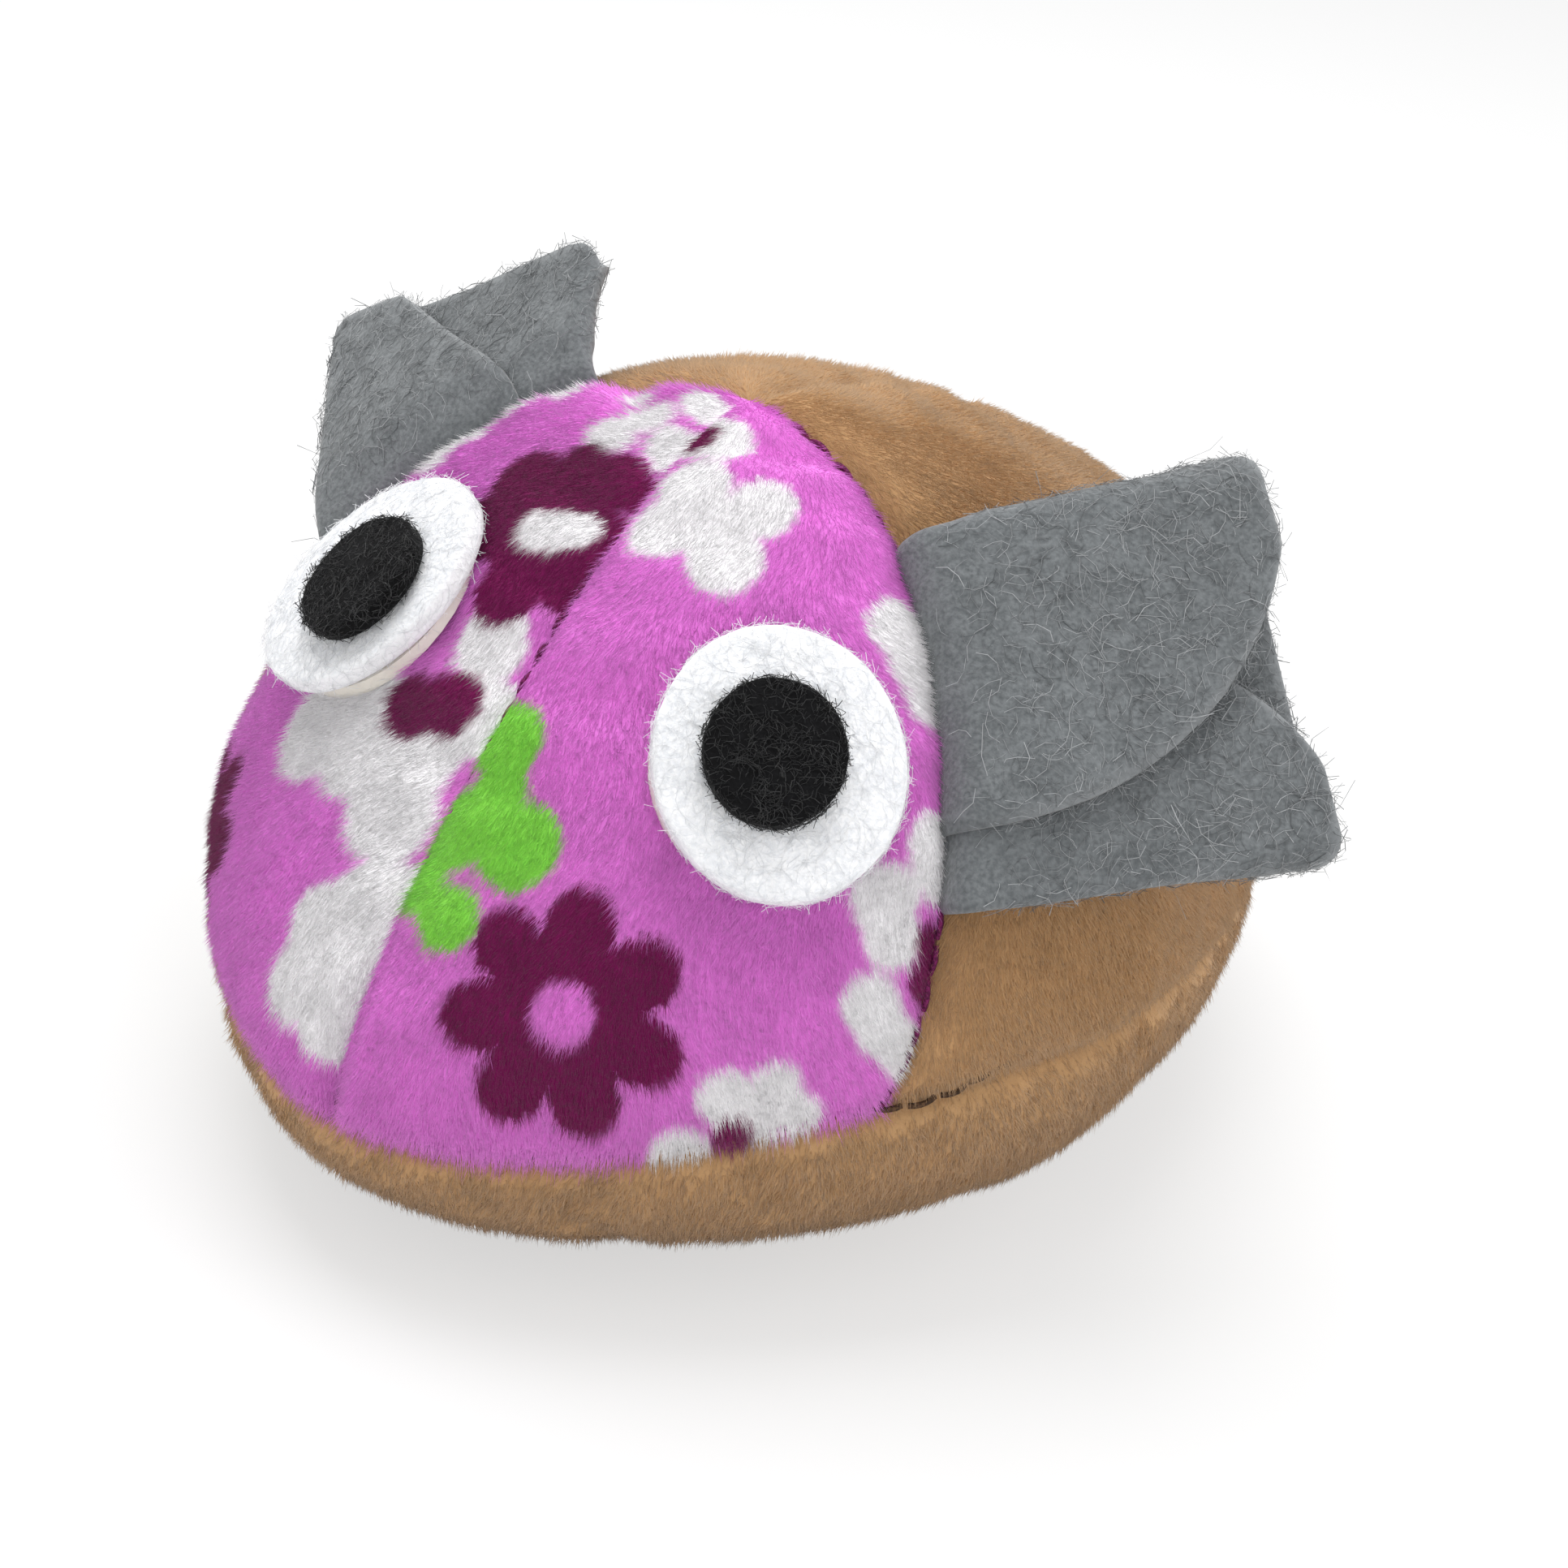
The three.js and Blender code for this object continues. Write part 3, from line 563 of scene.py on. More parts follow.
class Growth(Tree):
    """A Geometry Nodes tree that grows small shapes on a base, with a named input for each size."""

    def __init__(self, name, base, *sizes):
        self.group = bpy.data.node_groups.new(name, "GeometryNodeTree")
        super().__init__(self.group)
        kinds = {base: "Geometry", "Seed": "Int", "Finish": "Material"}
        for socket in (base, *sizes, "Seed", "Finish"):
            kind = "NodeSocket" + kinds.get(socket, "Float")
            self.group.interface.new_socket(socket, in_out="INPUT", socket_type=kind)
        self.group.interface.new_socket("Grown", in_out="OUTPUT", socket_type="NodeSocketGeometry")
        self.base = self.node("NodeGroupInput")
        self.size = self.base.beside

    def field(self, name, kind="FLOAT"):
        return self.node("GeometryNodeInputNamedAttribute", {"data_type": kind}, {"Name": name})

    def place(self):
        return self.node("GeometryNodeInputPosition")

    def combined(self, *parts):
        return self.node("ShaderNodeCombineXYZ", {}, dict(enumerate(parts)))

    def chance(self, low, high, extra, kind="FLOAT"):
        """Random value for each shape."""
        inputs = {"Min": low, "Max": high, "Seed": self.size("Seed") + extra}
        return self.node("FunctionNodeRandomValue", {"data_type": kind}, inputs)

    def any_way(self, reach, extra):
        """Random vector for each shape."""
        return self.chance((-reach,) * 3, (reach,) * 3, extra, "FLOAT_VECTOR")

    def scattered(self, per_square_mm):
        inputs = {"Mesh": self.base, "Density": per_square_mm * 1e6, "Seed": self.size("Seed")}
        return self.node("GeometryNodeDistributePointsOnFaces", {}, inputs, "Points")

    def marked(self, shapes, name, value):
        """The same shapes with a value stored at their points."""
        settings = {"data_type": "FLOAT", "domain": "POINT"}
        inputs = {"Geometry": shapes, "Name": name, "Value": value}
        return self.node("GeometryNodeStoreNamedAttribute", settings, inputs)

    def moved(self, shapes, offset):
        return self.node("GeometryNodeSetPosition", {}, {"Geometry": shapes, "Offset": offset})

    def aimed(self, vector, axis, **more):
        settings = {"axis": axis} | ({"pivot_axis": "X"} if more else {})
        return self.node("FunctionNodeAlignRotationToVector", settings, {"Vector": vector, **more})

    def swept(self, line, sides):
        """Round thread along a line of about one length."""
        across = {"Resolution": sides, "Radius": self.size("Radius") / self.size("Length")}
        across = self.node("GeometryNodeCurvePrimitiveCircle", {}, across)
        swept = {"Curve": line, "Profile Curve": across, "Fill Caps": True}
        return self.node("GeometryNodeCurveToMesh", {}, swept)

    def copied(self, points, shape, turn, scale):
        """Plain mesh of a shape set at each point."""
        copies = {"Points": points, "Instance": shape, "Rotation": turn, "Scale": scale}
        copies = self.node("GeometryNodeInstanceOnPoints", {}, copies)
        return self.node("GeometryNodeRealizeInstances", {}, {"Geometry": copies})

    def finished(self, shapes):
        """The whole tree, ended with its shapes in their finish."""
        shapes = self.node("GeometryNodeSetShadeSmooth", {}, {"Geometry": shapes})
        finish = {"Geometry": shapes, "Material": self.size("Finish")}
        self.node("NodeGroupOutput", {}, {0: self.node("GeometryNodeSetMaterial", {}, finish)})
        return self.group


def pile_tree():
    """Leaning, tapered strands all over a piece of cloth."""
    tree = Growth("pile", "Cloth", "Strands", "Length", "Radius", "Lean", "Clump", "Scatter", "Floor")
    size = tree.size
    roots = tree.scattered(size("Strands") * tree.field("cover"))
    heading = roots.beside("Normal")
    roots = tree.marked(roots, "shade", tree.chance(0.0, 1.0, 1))
    for way, share in (
        (tree.field("nap", "FLOAT_VECTOR"), "Lean"),
        (tree.drift(620.0, 2.0, tree.place()), "Clump"),
        (tree.any_way(1.0, 2), "Scatter"),
    ):
        heading = tree.vector("MULTIPLY_ADD", way, size(share), heading)
    cone = {"Vertices": 3, "Radius Top": 0.0, "Radius Bottom": 1.0, "Depth": 1.0}
    strand = tree.node("GeometryNodeMeshCone", {"fill_type": "NONE"}, cone, "Mesh")
    strand = tree.marked(strand, "tip", tree.part(tree.place(), "Z"))
    length = size("Length") * tree.field("height") * tree.chance(*PILE_SPREAD, 3)
    scale = tree.combined(size("Radius"), size("Radius"), length)
    pile = tree.copied(roots, strand, tree.aimed(heading, "Z"), scale)
    x = tree.part(tree.place(), "X")
    kept = tree.combined(x, x.beside("Y"), x.beside("Z").math("MAXIMUM", size("Floor")))
    return tree.finished(tree.node("GeometryNodeSetPosition", {}, {"Geometry": pile, "Position": kept}))


PILE = pile_tree()


def grown(name, base, group, sizes):
    """Plain mesh piece of what a Geometry Nodes tree grows on a base mesh."""
    holder = linked(name + " base", base)
    growth = holder.modifiers.new("growth", "NODES")
    growth.node_group = group
    for item in group.interface.items_tree:
        if item.item_type == "SOCKET" and item.name in sizes:
            growth[item.identifier] = sizes[item.name]
    depsgraph = bpy.context.evaluated_depsgraph_get()
    mesh = bpy.data.meshes.new_from_object(
        holder.evaluated_get(depsgraph), preserve_all_data_layers=True, depsgraph=depsgraph
    )
    holder.modifiers.remove(growth)
    bpy.data.objects.remove(holder)
    bpy.data.meshes.remove(base)
    mesh.name = name
    return added(mesh, sizes["Finish"])


def pile_on(name, phi, rise, material, strands, seed, height=1.0, share=1.0, shadow=False):
    """Pile of one panel, rooted on its cloth. Without a shadow, light passes between its fine strands."""
    base = bpy.data.meshes.new(name + " cloth")
    index = np.arange(phi.size).reshape(phi.shape)
    base.from_pydata(cover(phi, rise).reshape(-1, 3).tolist(), [], grid_faces(index))
    if (phi[0, 1] < phi[0, 0]) != (rise[1, 0] < rise[0, 0]):
        base.flip_normals()
    set_attribute(base, "print", puffed(phi, rise).reshape(-1, 3))
    set_attribute(base, "nap", nap(phi, rise).reshape(-1, 3))
    set_attribute(base, "height", np.broadcast_to(height, phi.shape).reshape(-1))
    set_attribute(base, "cover", np.broadcast_to(share, phi.shape).reshape(-1))
    sizes = {
        "Strands": strands,
        "Length": PILE_LENGTH,
        "Radius": PILE_RADIUS,
        "Lean": PILE_LEAN,
        "Clump": PILE_CLUMP,
        "Scatter": PILE_SCATTER,
        "Floor": PILE_FLOOR,
        "Seed": seed,
        "Finish": material,
    }
    pile = grown(name, base, PILE, sizes)
    pile.visible_shadow = shadow
    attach(pile, "body")
    return pile


def pile_shade(tree, dyed):
    """Dyed pile with painted shade at the roots between the strands and painted light at their tips, mottled
    where the pile lies in clumps. Cloth under it has no tips and takes the roots' painted shade.
    """
    depth = tree.attribute("tip") * TIP_PAINTED_LIGHT + tree.attribute("shade") * STRAND_LIGHT + ROOT_PAINTED_SHADE
    clumps = tree.noise(330.0, 4.0) * MOTTLE + (1 - MOTTLE / 2)
    light = tree.node("ShaderNodeCombineColor", {}, dict.fromkeys(range(3), depth * clumps))
    return tree.colour_mix(1.0, dyed, light, "MULTIPLY")


def pile_bump(tree):
    return tree.noise(1800.0, 4.0)


LILAC = dye(238, 136, 229)
PLUM = dye(126, 14, 86)
PRINT_WHITE = dye(252, 250, 252)
LEAF_GREEN = dye(146, 226, 84)
INK_BLEED = 0.00045
INK_WANDER = 0.0016
INK_JOIN = 0.0009
PETAL_DEPTH = 0.42
PETAL_BLUNTNESS = 0.55


def printed_half(name, layers):
    """Plush printed with layers of ink: each a colour with its spots and its flowers. A spot has a turn from
    the nose in degrees, a rise and a radius in mm; a flower also has a number of petals and its own turn."""

    def colour_of(tree):
        printed = tree.attribute("print", "Vector")
        wander = tree.drift(1500.0, 3.0, printed)
        place = tree.vector("MULTIPLY_ADD", wander, (INK_WANDER,) * 3, printed)
        colour = LILAC
        for ink, spots, flowers in layers:
            rims = []
            for turn, rise, radius in spots:
                centre = tuple(puffed(FRONT + math.radians(turn), rise))
                rims.append(tree.measure("DISTANCE", place, centre) - radius / 1e3)
            for turn, rise, reach, petals, twist in flowers:
                phi = FRONT + math.radians(turn)
                up = upward(phi, rise)
                away = tree.vector("SUBTRACT", place, tuple(puffed(phi, rise)))
                x = tree.measure("DOT_PRODUCT", away, tuple(np.cross(up, outward(phi, rise))))
                y = tree.measure("DOT_PRODUCT", away, tuple(up))
                lobes = (y.math("ARCTAN2", x) - math.radians(twist)) * (petals / 2)
                lobes = abs(lobes.math("COSINE")) ** PETAL_BLUNTNESS
                rim = (lobes * PETAL_DEPTH + (1 - PETAL_DEPTH)) * (reach / 1e3)
                rims.append(tree.measure("LENGTH", away) - rim)
            edge = rims[0]
            for rim in rims[1:]:
                edge = edge.math("SMOOTH_MIN", rim, INK_JOIN)
            colour = tree.colour_mix(tree.step(edge, INK_BLEED, -INK_BLEED), colour, ink)
        return pile_shade(tree, colour)

    return finish(name, colour_of, pile_bump, sheen=0.12)


LEFT_WHITE = (
    (4, 0.86, 2.8), (23, 0.85, 2.3), (18, 0.77, 3.0), (13, 0.71, 2.8), (28, 0.72, 3.0), (43, 0.75, 2.8),
    (34, 0.68, 3.0), (68, 0.61, 2.4), (69, 0.57, 2.3), (70, 0.53, 2.2), (66, 0.38, 2.4), (65.5, 0.35, 2.3),
    (58.5, 0.33, 2.8), (59, 0.285, 2.5), (56, 0.21, 2.4), (57, 0.175, 2.2), (59.5, 0.14, 2.2),
    (60.5, 0.09, 1.5), (41, 0.115, 2.3), (46, 0.12, 2.1), (48.5, 0.067, 1.9), (37, 0.022, 2.4),
    (44, 0.065, 2.5),
)
LEFT_GREEN = (
    (3.5, 0.47, 3.2), (6, 0.425, 2.4), (12, 0.38, 3.5), (3, 0.38, 3.2), (1, 0.32, 2.5), (7, 0.30, 2.6),
)
LEFT_PLUM = ((4, 0.855, 1.7), (84, 0.905, 1.2), (64.5, 0.267, 1.8), (63, 0.225, 1.8), (42, 0.04, 1.7))
RIGHT_WHITE = (
    (-3, 0.82, 2.5), (-32, 0.785, 2.3), (-34, 0.84, 2.2), (-21, 0.91, 2.0), (-62, 0.85, 1.5),
    (-73, 0.77, 2.0), (-75, 0.70, 2.6), (-73, 0.64, 2.8), (-70, 0.59, 2.6), (-10, 0.54, 3.3),
    (-3, 0.48, 3.5), (-10, 0.42, 4.4), (-8, 0.365, 4.4), (-19, 0.385, 4.2), (-24, 0.43, 3.2),
    (-29, 0.355, 4.2), (-2, 0.275, 4.6), (-8, 0.235, 3.6), (-3, 0.217, 4.0), (-8, 0.165, 3.4),
    (-2, 0.16, 3.8),
)
RIGHT_GREEN = ((-72, 0.34, 3.5), (-66, 0.39, 3.1), (-75, 0.42, 2.9))
RIGHT_PLUM = (
    (-17, 0.66, 5.6), (-38, 0.68, 3.2), (-26, 0.725, 2.9), (-11, 0.745, 2.6), (-1, 0.745, 1.8),
    (-1, 0.68, 2.6), (-4, 0.625, 2.7), (-14, 0.585, 2.9), (-34, 0.61, 3.4), (-15, 0.45, 2.7),
    (-9, 0.475, 2.7),
)
RIGHT_HEART = ((-20, 0.65, 1.8), (-15, 0.663, 2.0), (-10, 0.677, 1.8))
PRINTS = {
    "left": (
        (PRINT_WHITE, LEFT_WHITE, ()),
        (LEAF_GREEN, LEFT_GREEN, ()),
        (PLUM, LEFT_PLUM, ((23, 0.224, 9.3, 7, 90),)),
        (LILAC, ((23, 0.224, 2.4),), ()),
    ),
    "right": (
        (PRINT_WHITE, RIGHT_WHITE, ((-72, 0.13, 8.0, 6, 0),)),
        (LEAF_GREEN, RIGHT_GREEN, ()),
        (PLUM, RIGHT_PLUM, ((-44, 0.07, 9.0, 7, 30),)),
        (PRINT_WHITE, RIGHT_HEART, ()),
    ),
}

for side, seed in (("left", 11), ("right", 12)):
    floral_plush = printed_half(f"floral plush {side}", PRINTS[side])
    phi, rise = upper_grid(side, "front", "neck", FACE_COLUMNS)
    half = cloth_panel(f"face_{side}", phi, rise, floral_plush)
    padded_piece(half, f"face_panel_{side}")
    over_seam = 1 + SEAM_PILE * bell(rise, SEAM_PILE_REACH)
    pile = pile_on(f"face_pile_{side}", phi, rise, floral_plush, FACE_STRANDS, seed, over_seam)

# Sides: two panels of plain brown plush from the neck seam over the back to the rump, joined along the back.
# The same short pile as the face, brushed down towards the base.
SIDE_COLUMNS = 128
SIDE_STRANDS = 23.0
BROWN = dye(193, 152, 107)
BROWN_PLUSH = finish("brown plush", lambda tree: pile_shade(tree, BROWN), pile_bump, sheen=0.2)

for side, seed in (("left", 21), ("right", 23)):
    phi, rise = upper_grid(side, "neck", "back", SIDE_COLUMNS)
    panel = cloth_panel(f"side_{side}", phi, rise, BROWN_PLUSH)
    padded_piece(panel, f"side_panel_{side}")
    middle = SIDE_COLUMNS // 2
    for part, columns, extra in (("front", slice(None, middle + 1), 0), ("rear", slice(middle, None), 1)):
        name = f"side_pile_{side}_{part}"
        pile = pile_on(name, phi[:, columns], rise[:, columns], BROWN_PLUSH, SIDE_STRANDS, seed + extra)

# Base: one oval of the same brown plush under the body. It shows as a band below the base seam all round, in
# the body's shade, and lies flat where the toy rests, with its pile worn short and thin.
BASE_COLUMNS = 240
BASE_ROWS = 64
BASE_ROW_GATHER = 1.3
BASE_STRANDS = 16.0
WORN_START = -0.82
WORN_FADE = 0.35
WORN_HEIGHT = 0.3
WORN_SHARE = 0.12

base_rises = -mix(PANEL_FOOT, 1.0, np.linspace(0, 1, BASE_ROWS) ** BASE_ROW_GATHER)
base_rise, base_phi = all_round(base_rises, FRONT, BASE_COLUMNS)
base_outer = cover(base_phi, base_rise)
base_inner = base_outer - outward(base_phi, base_rise) * CLOTH_THICKNESS
base_rings = np.concatenate([base_outer[::-1], base_inner])
base_poles = [np.array([0, CROWN_Y, rings[-1, :, 2].mean()]) for rings in (base_outer, base_inner)]
base_mesh = closed_mesh("base", *ring_solid(base_rings, *base_poles))
# Without a tip value the base cloth takes the painted shade of the pile's roots.
set_attribute(base_mesh, "shade", np.full(len(base_mesh.vertices), 0.5))
padded_piece(added(base_mesh, BROWN_PLUSH), "base_panel")
for part, first_turn, seed in (("front", -math.pi, 31), ("rear", 0.0, 32)):
    turns = first_turn + np.linspace(0, math.pi, BASE_COLUMNS // 2 + 1)
    rise, phi = np.meshgrid(base_rises, turns, indexing="ij")
    kept = ramp(rise, WORN_START, WORN_FADE)
    height = mix(WORN_HEIGHT, 1, kept)
    share = mix(WORN_SHARE, 1, kept)
    name = f"base_pile_{part}"
    pile = pile_on(name, phi, rise, BROWN_PLUSH, BASE_STRANDS, seed, height, share, shadow=True)

# Seam threads: lock stitches of sewing thread, drawn deep into the seams so that only short lengths show in
# the pile. The base was closed last, and its dark brown stitches show at the foot of the left neck seam.
STITCH_PITCH = 0.0026
STITCH_LENGTH = 0.0021
STITCH_RADIUS = 0.00024
STITCH_DEPTH = 0.0021
STITCH_SWAY = 0.12
STITCH_ARCH = 0.7
SEAM_POINTS = 160
SEAM_FOOT = 0.03
SEAM_TOP = 0.96
BACK_SEAM_TOP = 0.9
BASE_SEAM_GAP = 0.02
FRONT_SUNK = 0.0003
BACK_SUNK = 0.0005
BASE_SUNK = 0.0007
FRONT_PULL = 0.0007
BASE_PULL = 0.0015
PULL_WIDTH = 0.12
BETWEEN_EYES = 0.6
BEHIND_NECK = 0.1


def stitch_tree():
    """Short arched stitches along a line that knows its surface."""
    tree = Growth("stitches", "Seam", "Pitch", "Length", "Radius")
    size = tree.size
    line = tree.node("GeometryNodeMeshToCurve", {}, {"Mesh": tree.base})
    line = {"Curve": line, "Length": size("Pitch")}
    holes = tree.node("GeometryNodeCurveToPoints", {"mode": "LENGTH"}, line, "Points")
    heading = tree.vector("ADD", holes.beside("Tangent"), tree.any_way(STITCH_SWAY, 0))
    turn = tree.aimed(tree.field("up", "FLOAT_VECTOR"), "Z", Rotation=tree.aimed(heading, "X"))
    ends = {"Start": (-0.5, 0, 0), "End": (0.5, 0, 0)}
    thread = tree.node("GeometryNodeCurvePrimitiveLine", {}, ends)
    thread = tree.node("GeometryNodeResampleCurve", {}, {"Curve": thread, "Count": 6})
    x = tree.part(tree.place(), "X")
    thread = tree.moved(thread, tree.combined(0, 0, (0.25 - x * x) * STITCH_ARCH))
    scale = tree.combined(*[size("Length")] * 3)
    return tree.finished(tree.copied(holes, tree.swept(thread, 5), turn, scale))


STITCHES = stitch_tree()


def thread_finish(name, dark, light):
    """Twisted thread: two plies that catch the light by turns."""

    def colour_of(tree):
        return tree.colour_mix(tree.step(tree.noise(5200.0, 2.0), 0.4, 0.6), dark, light)

    return finish(name, colour_of, lambda tree: tree.noise(7000.0, 2.0), roughness=0.7, bump_depth=0.0001)


THREADS = {
    "plum_thread": thread_finish("plum thread", dye(74, 14, 54), dye(120, 34, 90)),
    "brown_thread": thread_finish("brown thread", dye(52, 36, 24), dye(88, 64, 44)),
}


def sewn(name, phi, rise, sunk, slot, node, seed):
    """Stitches along one seam, sunk by a length deeper than the neck's. They stand for its CAD thread."""
    normal = outward(phi, rise)
    points = puffed(phi, rise) - normal * np.broadcast_to(STITCH_DEPTH + sunk, phi.shape)[:, None]
    line = bpy.data.meshes.new(name + " line")
    line.from_pydata(points.tolist(), [(i, i + 1) for i in range(len(points) - 1)], [])
    set_attribute(line, "up", normal)
    sizes = {
        "Pitch": STITCH_PITCH,
        "Length": STITCH_LENGTH,
        "Radius": STITCH_RADIUS,
        "Seed": seed,
        "Finish": THREADS[slot],
    }
    stitches = grown(name, line, STITCHES, sizes)
    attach(stitches, "body")
    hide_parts(node)


seam_rise = np.linspace(SEAM_FOOT, SEAM_TOP, SEAM_POINTS)
front = seam_turn("front", "left", seam_rise)
front_sunk = FRONT_SUNK - FRONT_PULL * bell(seam_rise - BETWEEN_EYES, PULL_WIDTH)
sewn("face_stitches", front, seam_rise, front_sunk, "plum_thread", "face_centre_thread", 41)
back_rise = np.linspace(SEAM_FOOT, BACK_SEAM_TOP, SEAM_POINTS)
back = seam_turn("back", "left", back_rise)
sewn("back_stitches", back, back_rise, BACK_SUNK, "brown_thread", "back_centre_thread", 42)
for side, seed in (("left", 43), ("right", 44)):
    neck = seam_turn("neck", side, seam_rise)
    sewn(f"neck_stitches_{side}", neck, seam_rise, 0.0, "plum_thread", f"neck_thread_{side}", seed)
base_turn = np.linspace(BACK + BASE_SEAM_GAP, BACK + TURN - BASE_SEAM_GAP, 3 * SEAM_POINTS)
foot_turn = float(neck_turn(0.0)) + TURN
base_sunk = BASE_SUNK - BASE_PULL * bell(base_turn - foot_turn - BEHIND_NECK, PULL_WIDTH)
sewn("base_stitches", base_turn, 0 * base_turn, base_sunk, "brown_thread", "base_thread", 45)

# Ears: one round piece of grey felt each, folded over from both sides. Its root is pressed flat, caught in
# the neck seam and reaches a few millimetres into the filling, so the ear bends at the seam and springs back.
FELT_THICKNESS = 0.0011
FELT_PRESSED = 0.0006
FELT_GAP = 0.00035
FELT_SPRING = 6
FELT_WAVE = 0.00022
FELT_WAVE_SIZE = 0.014
FELT_FREE = 0.008
FELT_CUT = 0.0006
FELT_CUT_SHARE = 0.8
FLAP_CURVE_END = 0.75
FLAP_DROOP = 0.4
FOLD_POINTS = 11
FLAP_POINTS = 18
INNER_FLAP_POINTS = 16
EAR_HINGE_HEIGHT = 0.0018
EAR_ROOT_START = 0.0014
EAR_TAB_DEPTH = 0.0046
EAR_TAB_PRESS = 0.7
EAR_HINGE_PRESS = 0.85
EAR_BEND_LENGTH = 0.005
EAR_ROWS = 36
EAR_ROW_GATHER = 1.4
EAR_HUG_FADE = 2.5
EAR_BEND_SMOOTHING = 12
EAR_BEND_FIRST = 4
EAR_BEND_ROWS = 8
SEAM_STEP = 0.01
FIBRE_BEND = 0.8
FIBRE_SHIFT = 0.9
FIBRE_SPREAD = (0.5, 1.2)
TANGLE_FINE = 0.75
EARS = {
    "left": {
        "root": (0.3, 0.7),
        "lift": 11.2,
        "lengths": (0.0264, 0.0234),
        "flares": (-0.001, 0.0036),
        "front": (0.0216, 0.0046),
        "inner": (0.019, 0.0046),
        "openings": (0.0028, 0.0022),
        "roundness": 2.6,
        "corners": (0.002, 0.0015),
        "front_high": True,
    },
    "right": {
        "root": (0.385, 0.78),
        "lift": 20.5,
        "lengths": (0.0236, 0.0098),
        "flares": (-0.004, 0.0046),
        "front": (0.0205, 0.007),
        "inner": (0.019, 0.024),
        "openings": (0.0016, 0.0008),
        "roundness": 1.0,
        "corners": (0.004, 0.0024),
        "front_high": False,
    },
}


def ear_frame(ear):
    """Middle of an ear's hinge, directions along its root, off the body and to its face, and its length."""
    rises = np.array(ear["root"])
    ends = puffed(neck_turn(rises), rises)
    along = unit(ends[1] - ends[0])
    middle = rises.mean()
    lift = outward(neck_turn(middle), middle)
    lift = unit(lift - along * (lift @ along))
    chord = ends.mean(0)
    bulge = (puffed(neck_turn(middle), middle) - chord) @ lift
    back = np.cross(along, lift)
    back = back * np.sign(back[1])
    tilt = math.radians(ear["lift"])
    out = back * math.cos(tilt) + lift * math.sin(tilt)
    length = np.linalg.norm(ends[1] - ends[0])
    return chord + lift * (bulge + EAR_HINGE_HEIGHT), along, out, np.cross(out, along), length


def rounded_corner(distance, radius):
    """How far a rounded corner falls short, at a distance from the fold beside it."""
    inside = np.clip(radius - distance, 0, radius)
    return radius - np.sqrt(radius**2 - inside**2)


def ear_section(ear, root_length, s):
    """Line of the felt across the ear, from the front flap's cut edge to the inner flap's, as along, out and
    height. Also its thickness, and how far the corners of the tip fall short."""
    low_length, high_length = ear["lengths"]
    low_flare, high_flare = ear["flares"]
    low = np.array([-root_length / 2 - low_flare * s, low_length * s])
    high = np.array([root_length / 2 + high_flare * s, high_length * s])
    inner_edge, front_edge = (low, high) if ear["front_high"] else (high, low)
    width = np.linalg.norm(front_edge - inner_edge)
    across = (front_edge - inner_edge) / width
    thickness = mix(FELT_PRESSED, FELT_THICKNESS, smooth(min(1, s * FELT_SPRING)))
    front_opening, inner_opening = ear["openings"]
    inner_height = thickness + FELT_GAP + inner_opening * s * s
    front_height = 2 * (thickness + FELT_GAP) + front_opening * s * s
    narrowed = 1 - (1 - s ** ear["roundness"]) ** FLAP_CURVE_END
    front_depth = mix(*ear["front"], narrowed) + front_height / 2
    inner_depth = mix(*ear["inner"], narrowed) + inner_height / 2
    turn = np.linspace(0, math.pi, FOLD_POINTS)
    flap = np.linspace(0, 1, FLAP_POINTS, endpoint=False)
    middle = np.linspace(0, 1, FLAP_POINTS + 2)[1:-1]
    drop = FLAP_DROOP * (front_height - inner_height - thickness)
    x = [
        mix(width - front_depth, width - front_height / 2, flap),
        width - front_height / 2 + np.sin(turn) * front_height / 2,
        mix(width - front_height / 2, inner_height / 2, middle),
        inner_height / 2 - np.sin(turn) * inner_height / 2,
        mix(inner_height / 2, inner_depth, np.linspace(0, 1, INNER_FLAP_POINTS + 1)[1:]),
    ]
    height = [
        front_height - drop * (1 - flap) ** 2,
        front_height * (1 + np.cos(turn)) / 2,
        0 * middle,
        inner_height * (1 - np.cos(turn)) / 2,
        np.full(INNER_FLAP_POINTS, inner_height),
    ]
    x = np.concatenate(x)
    plane = inner_edge + across * x[:, None]
    front_corner, inner_corner = ear["corners"]
    short = rounded_corner(width - x, front_corner) + rounded_corner(x, inner_corner)
    return np.column_stack([plane, np.concatenate(height)]), thickness, short


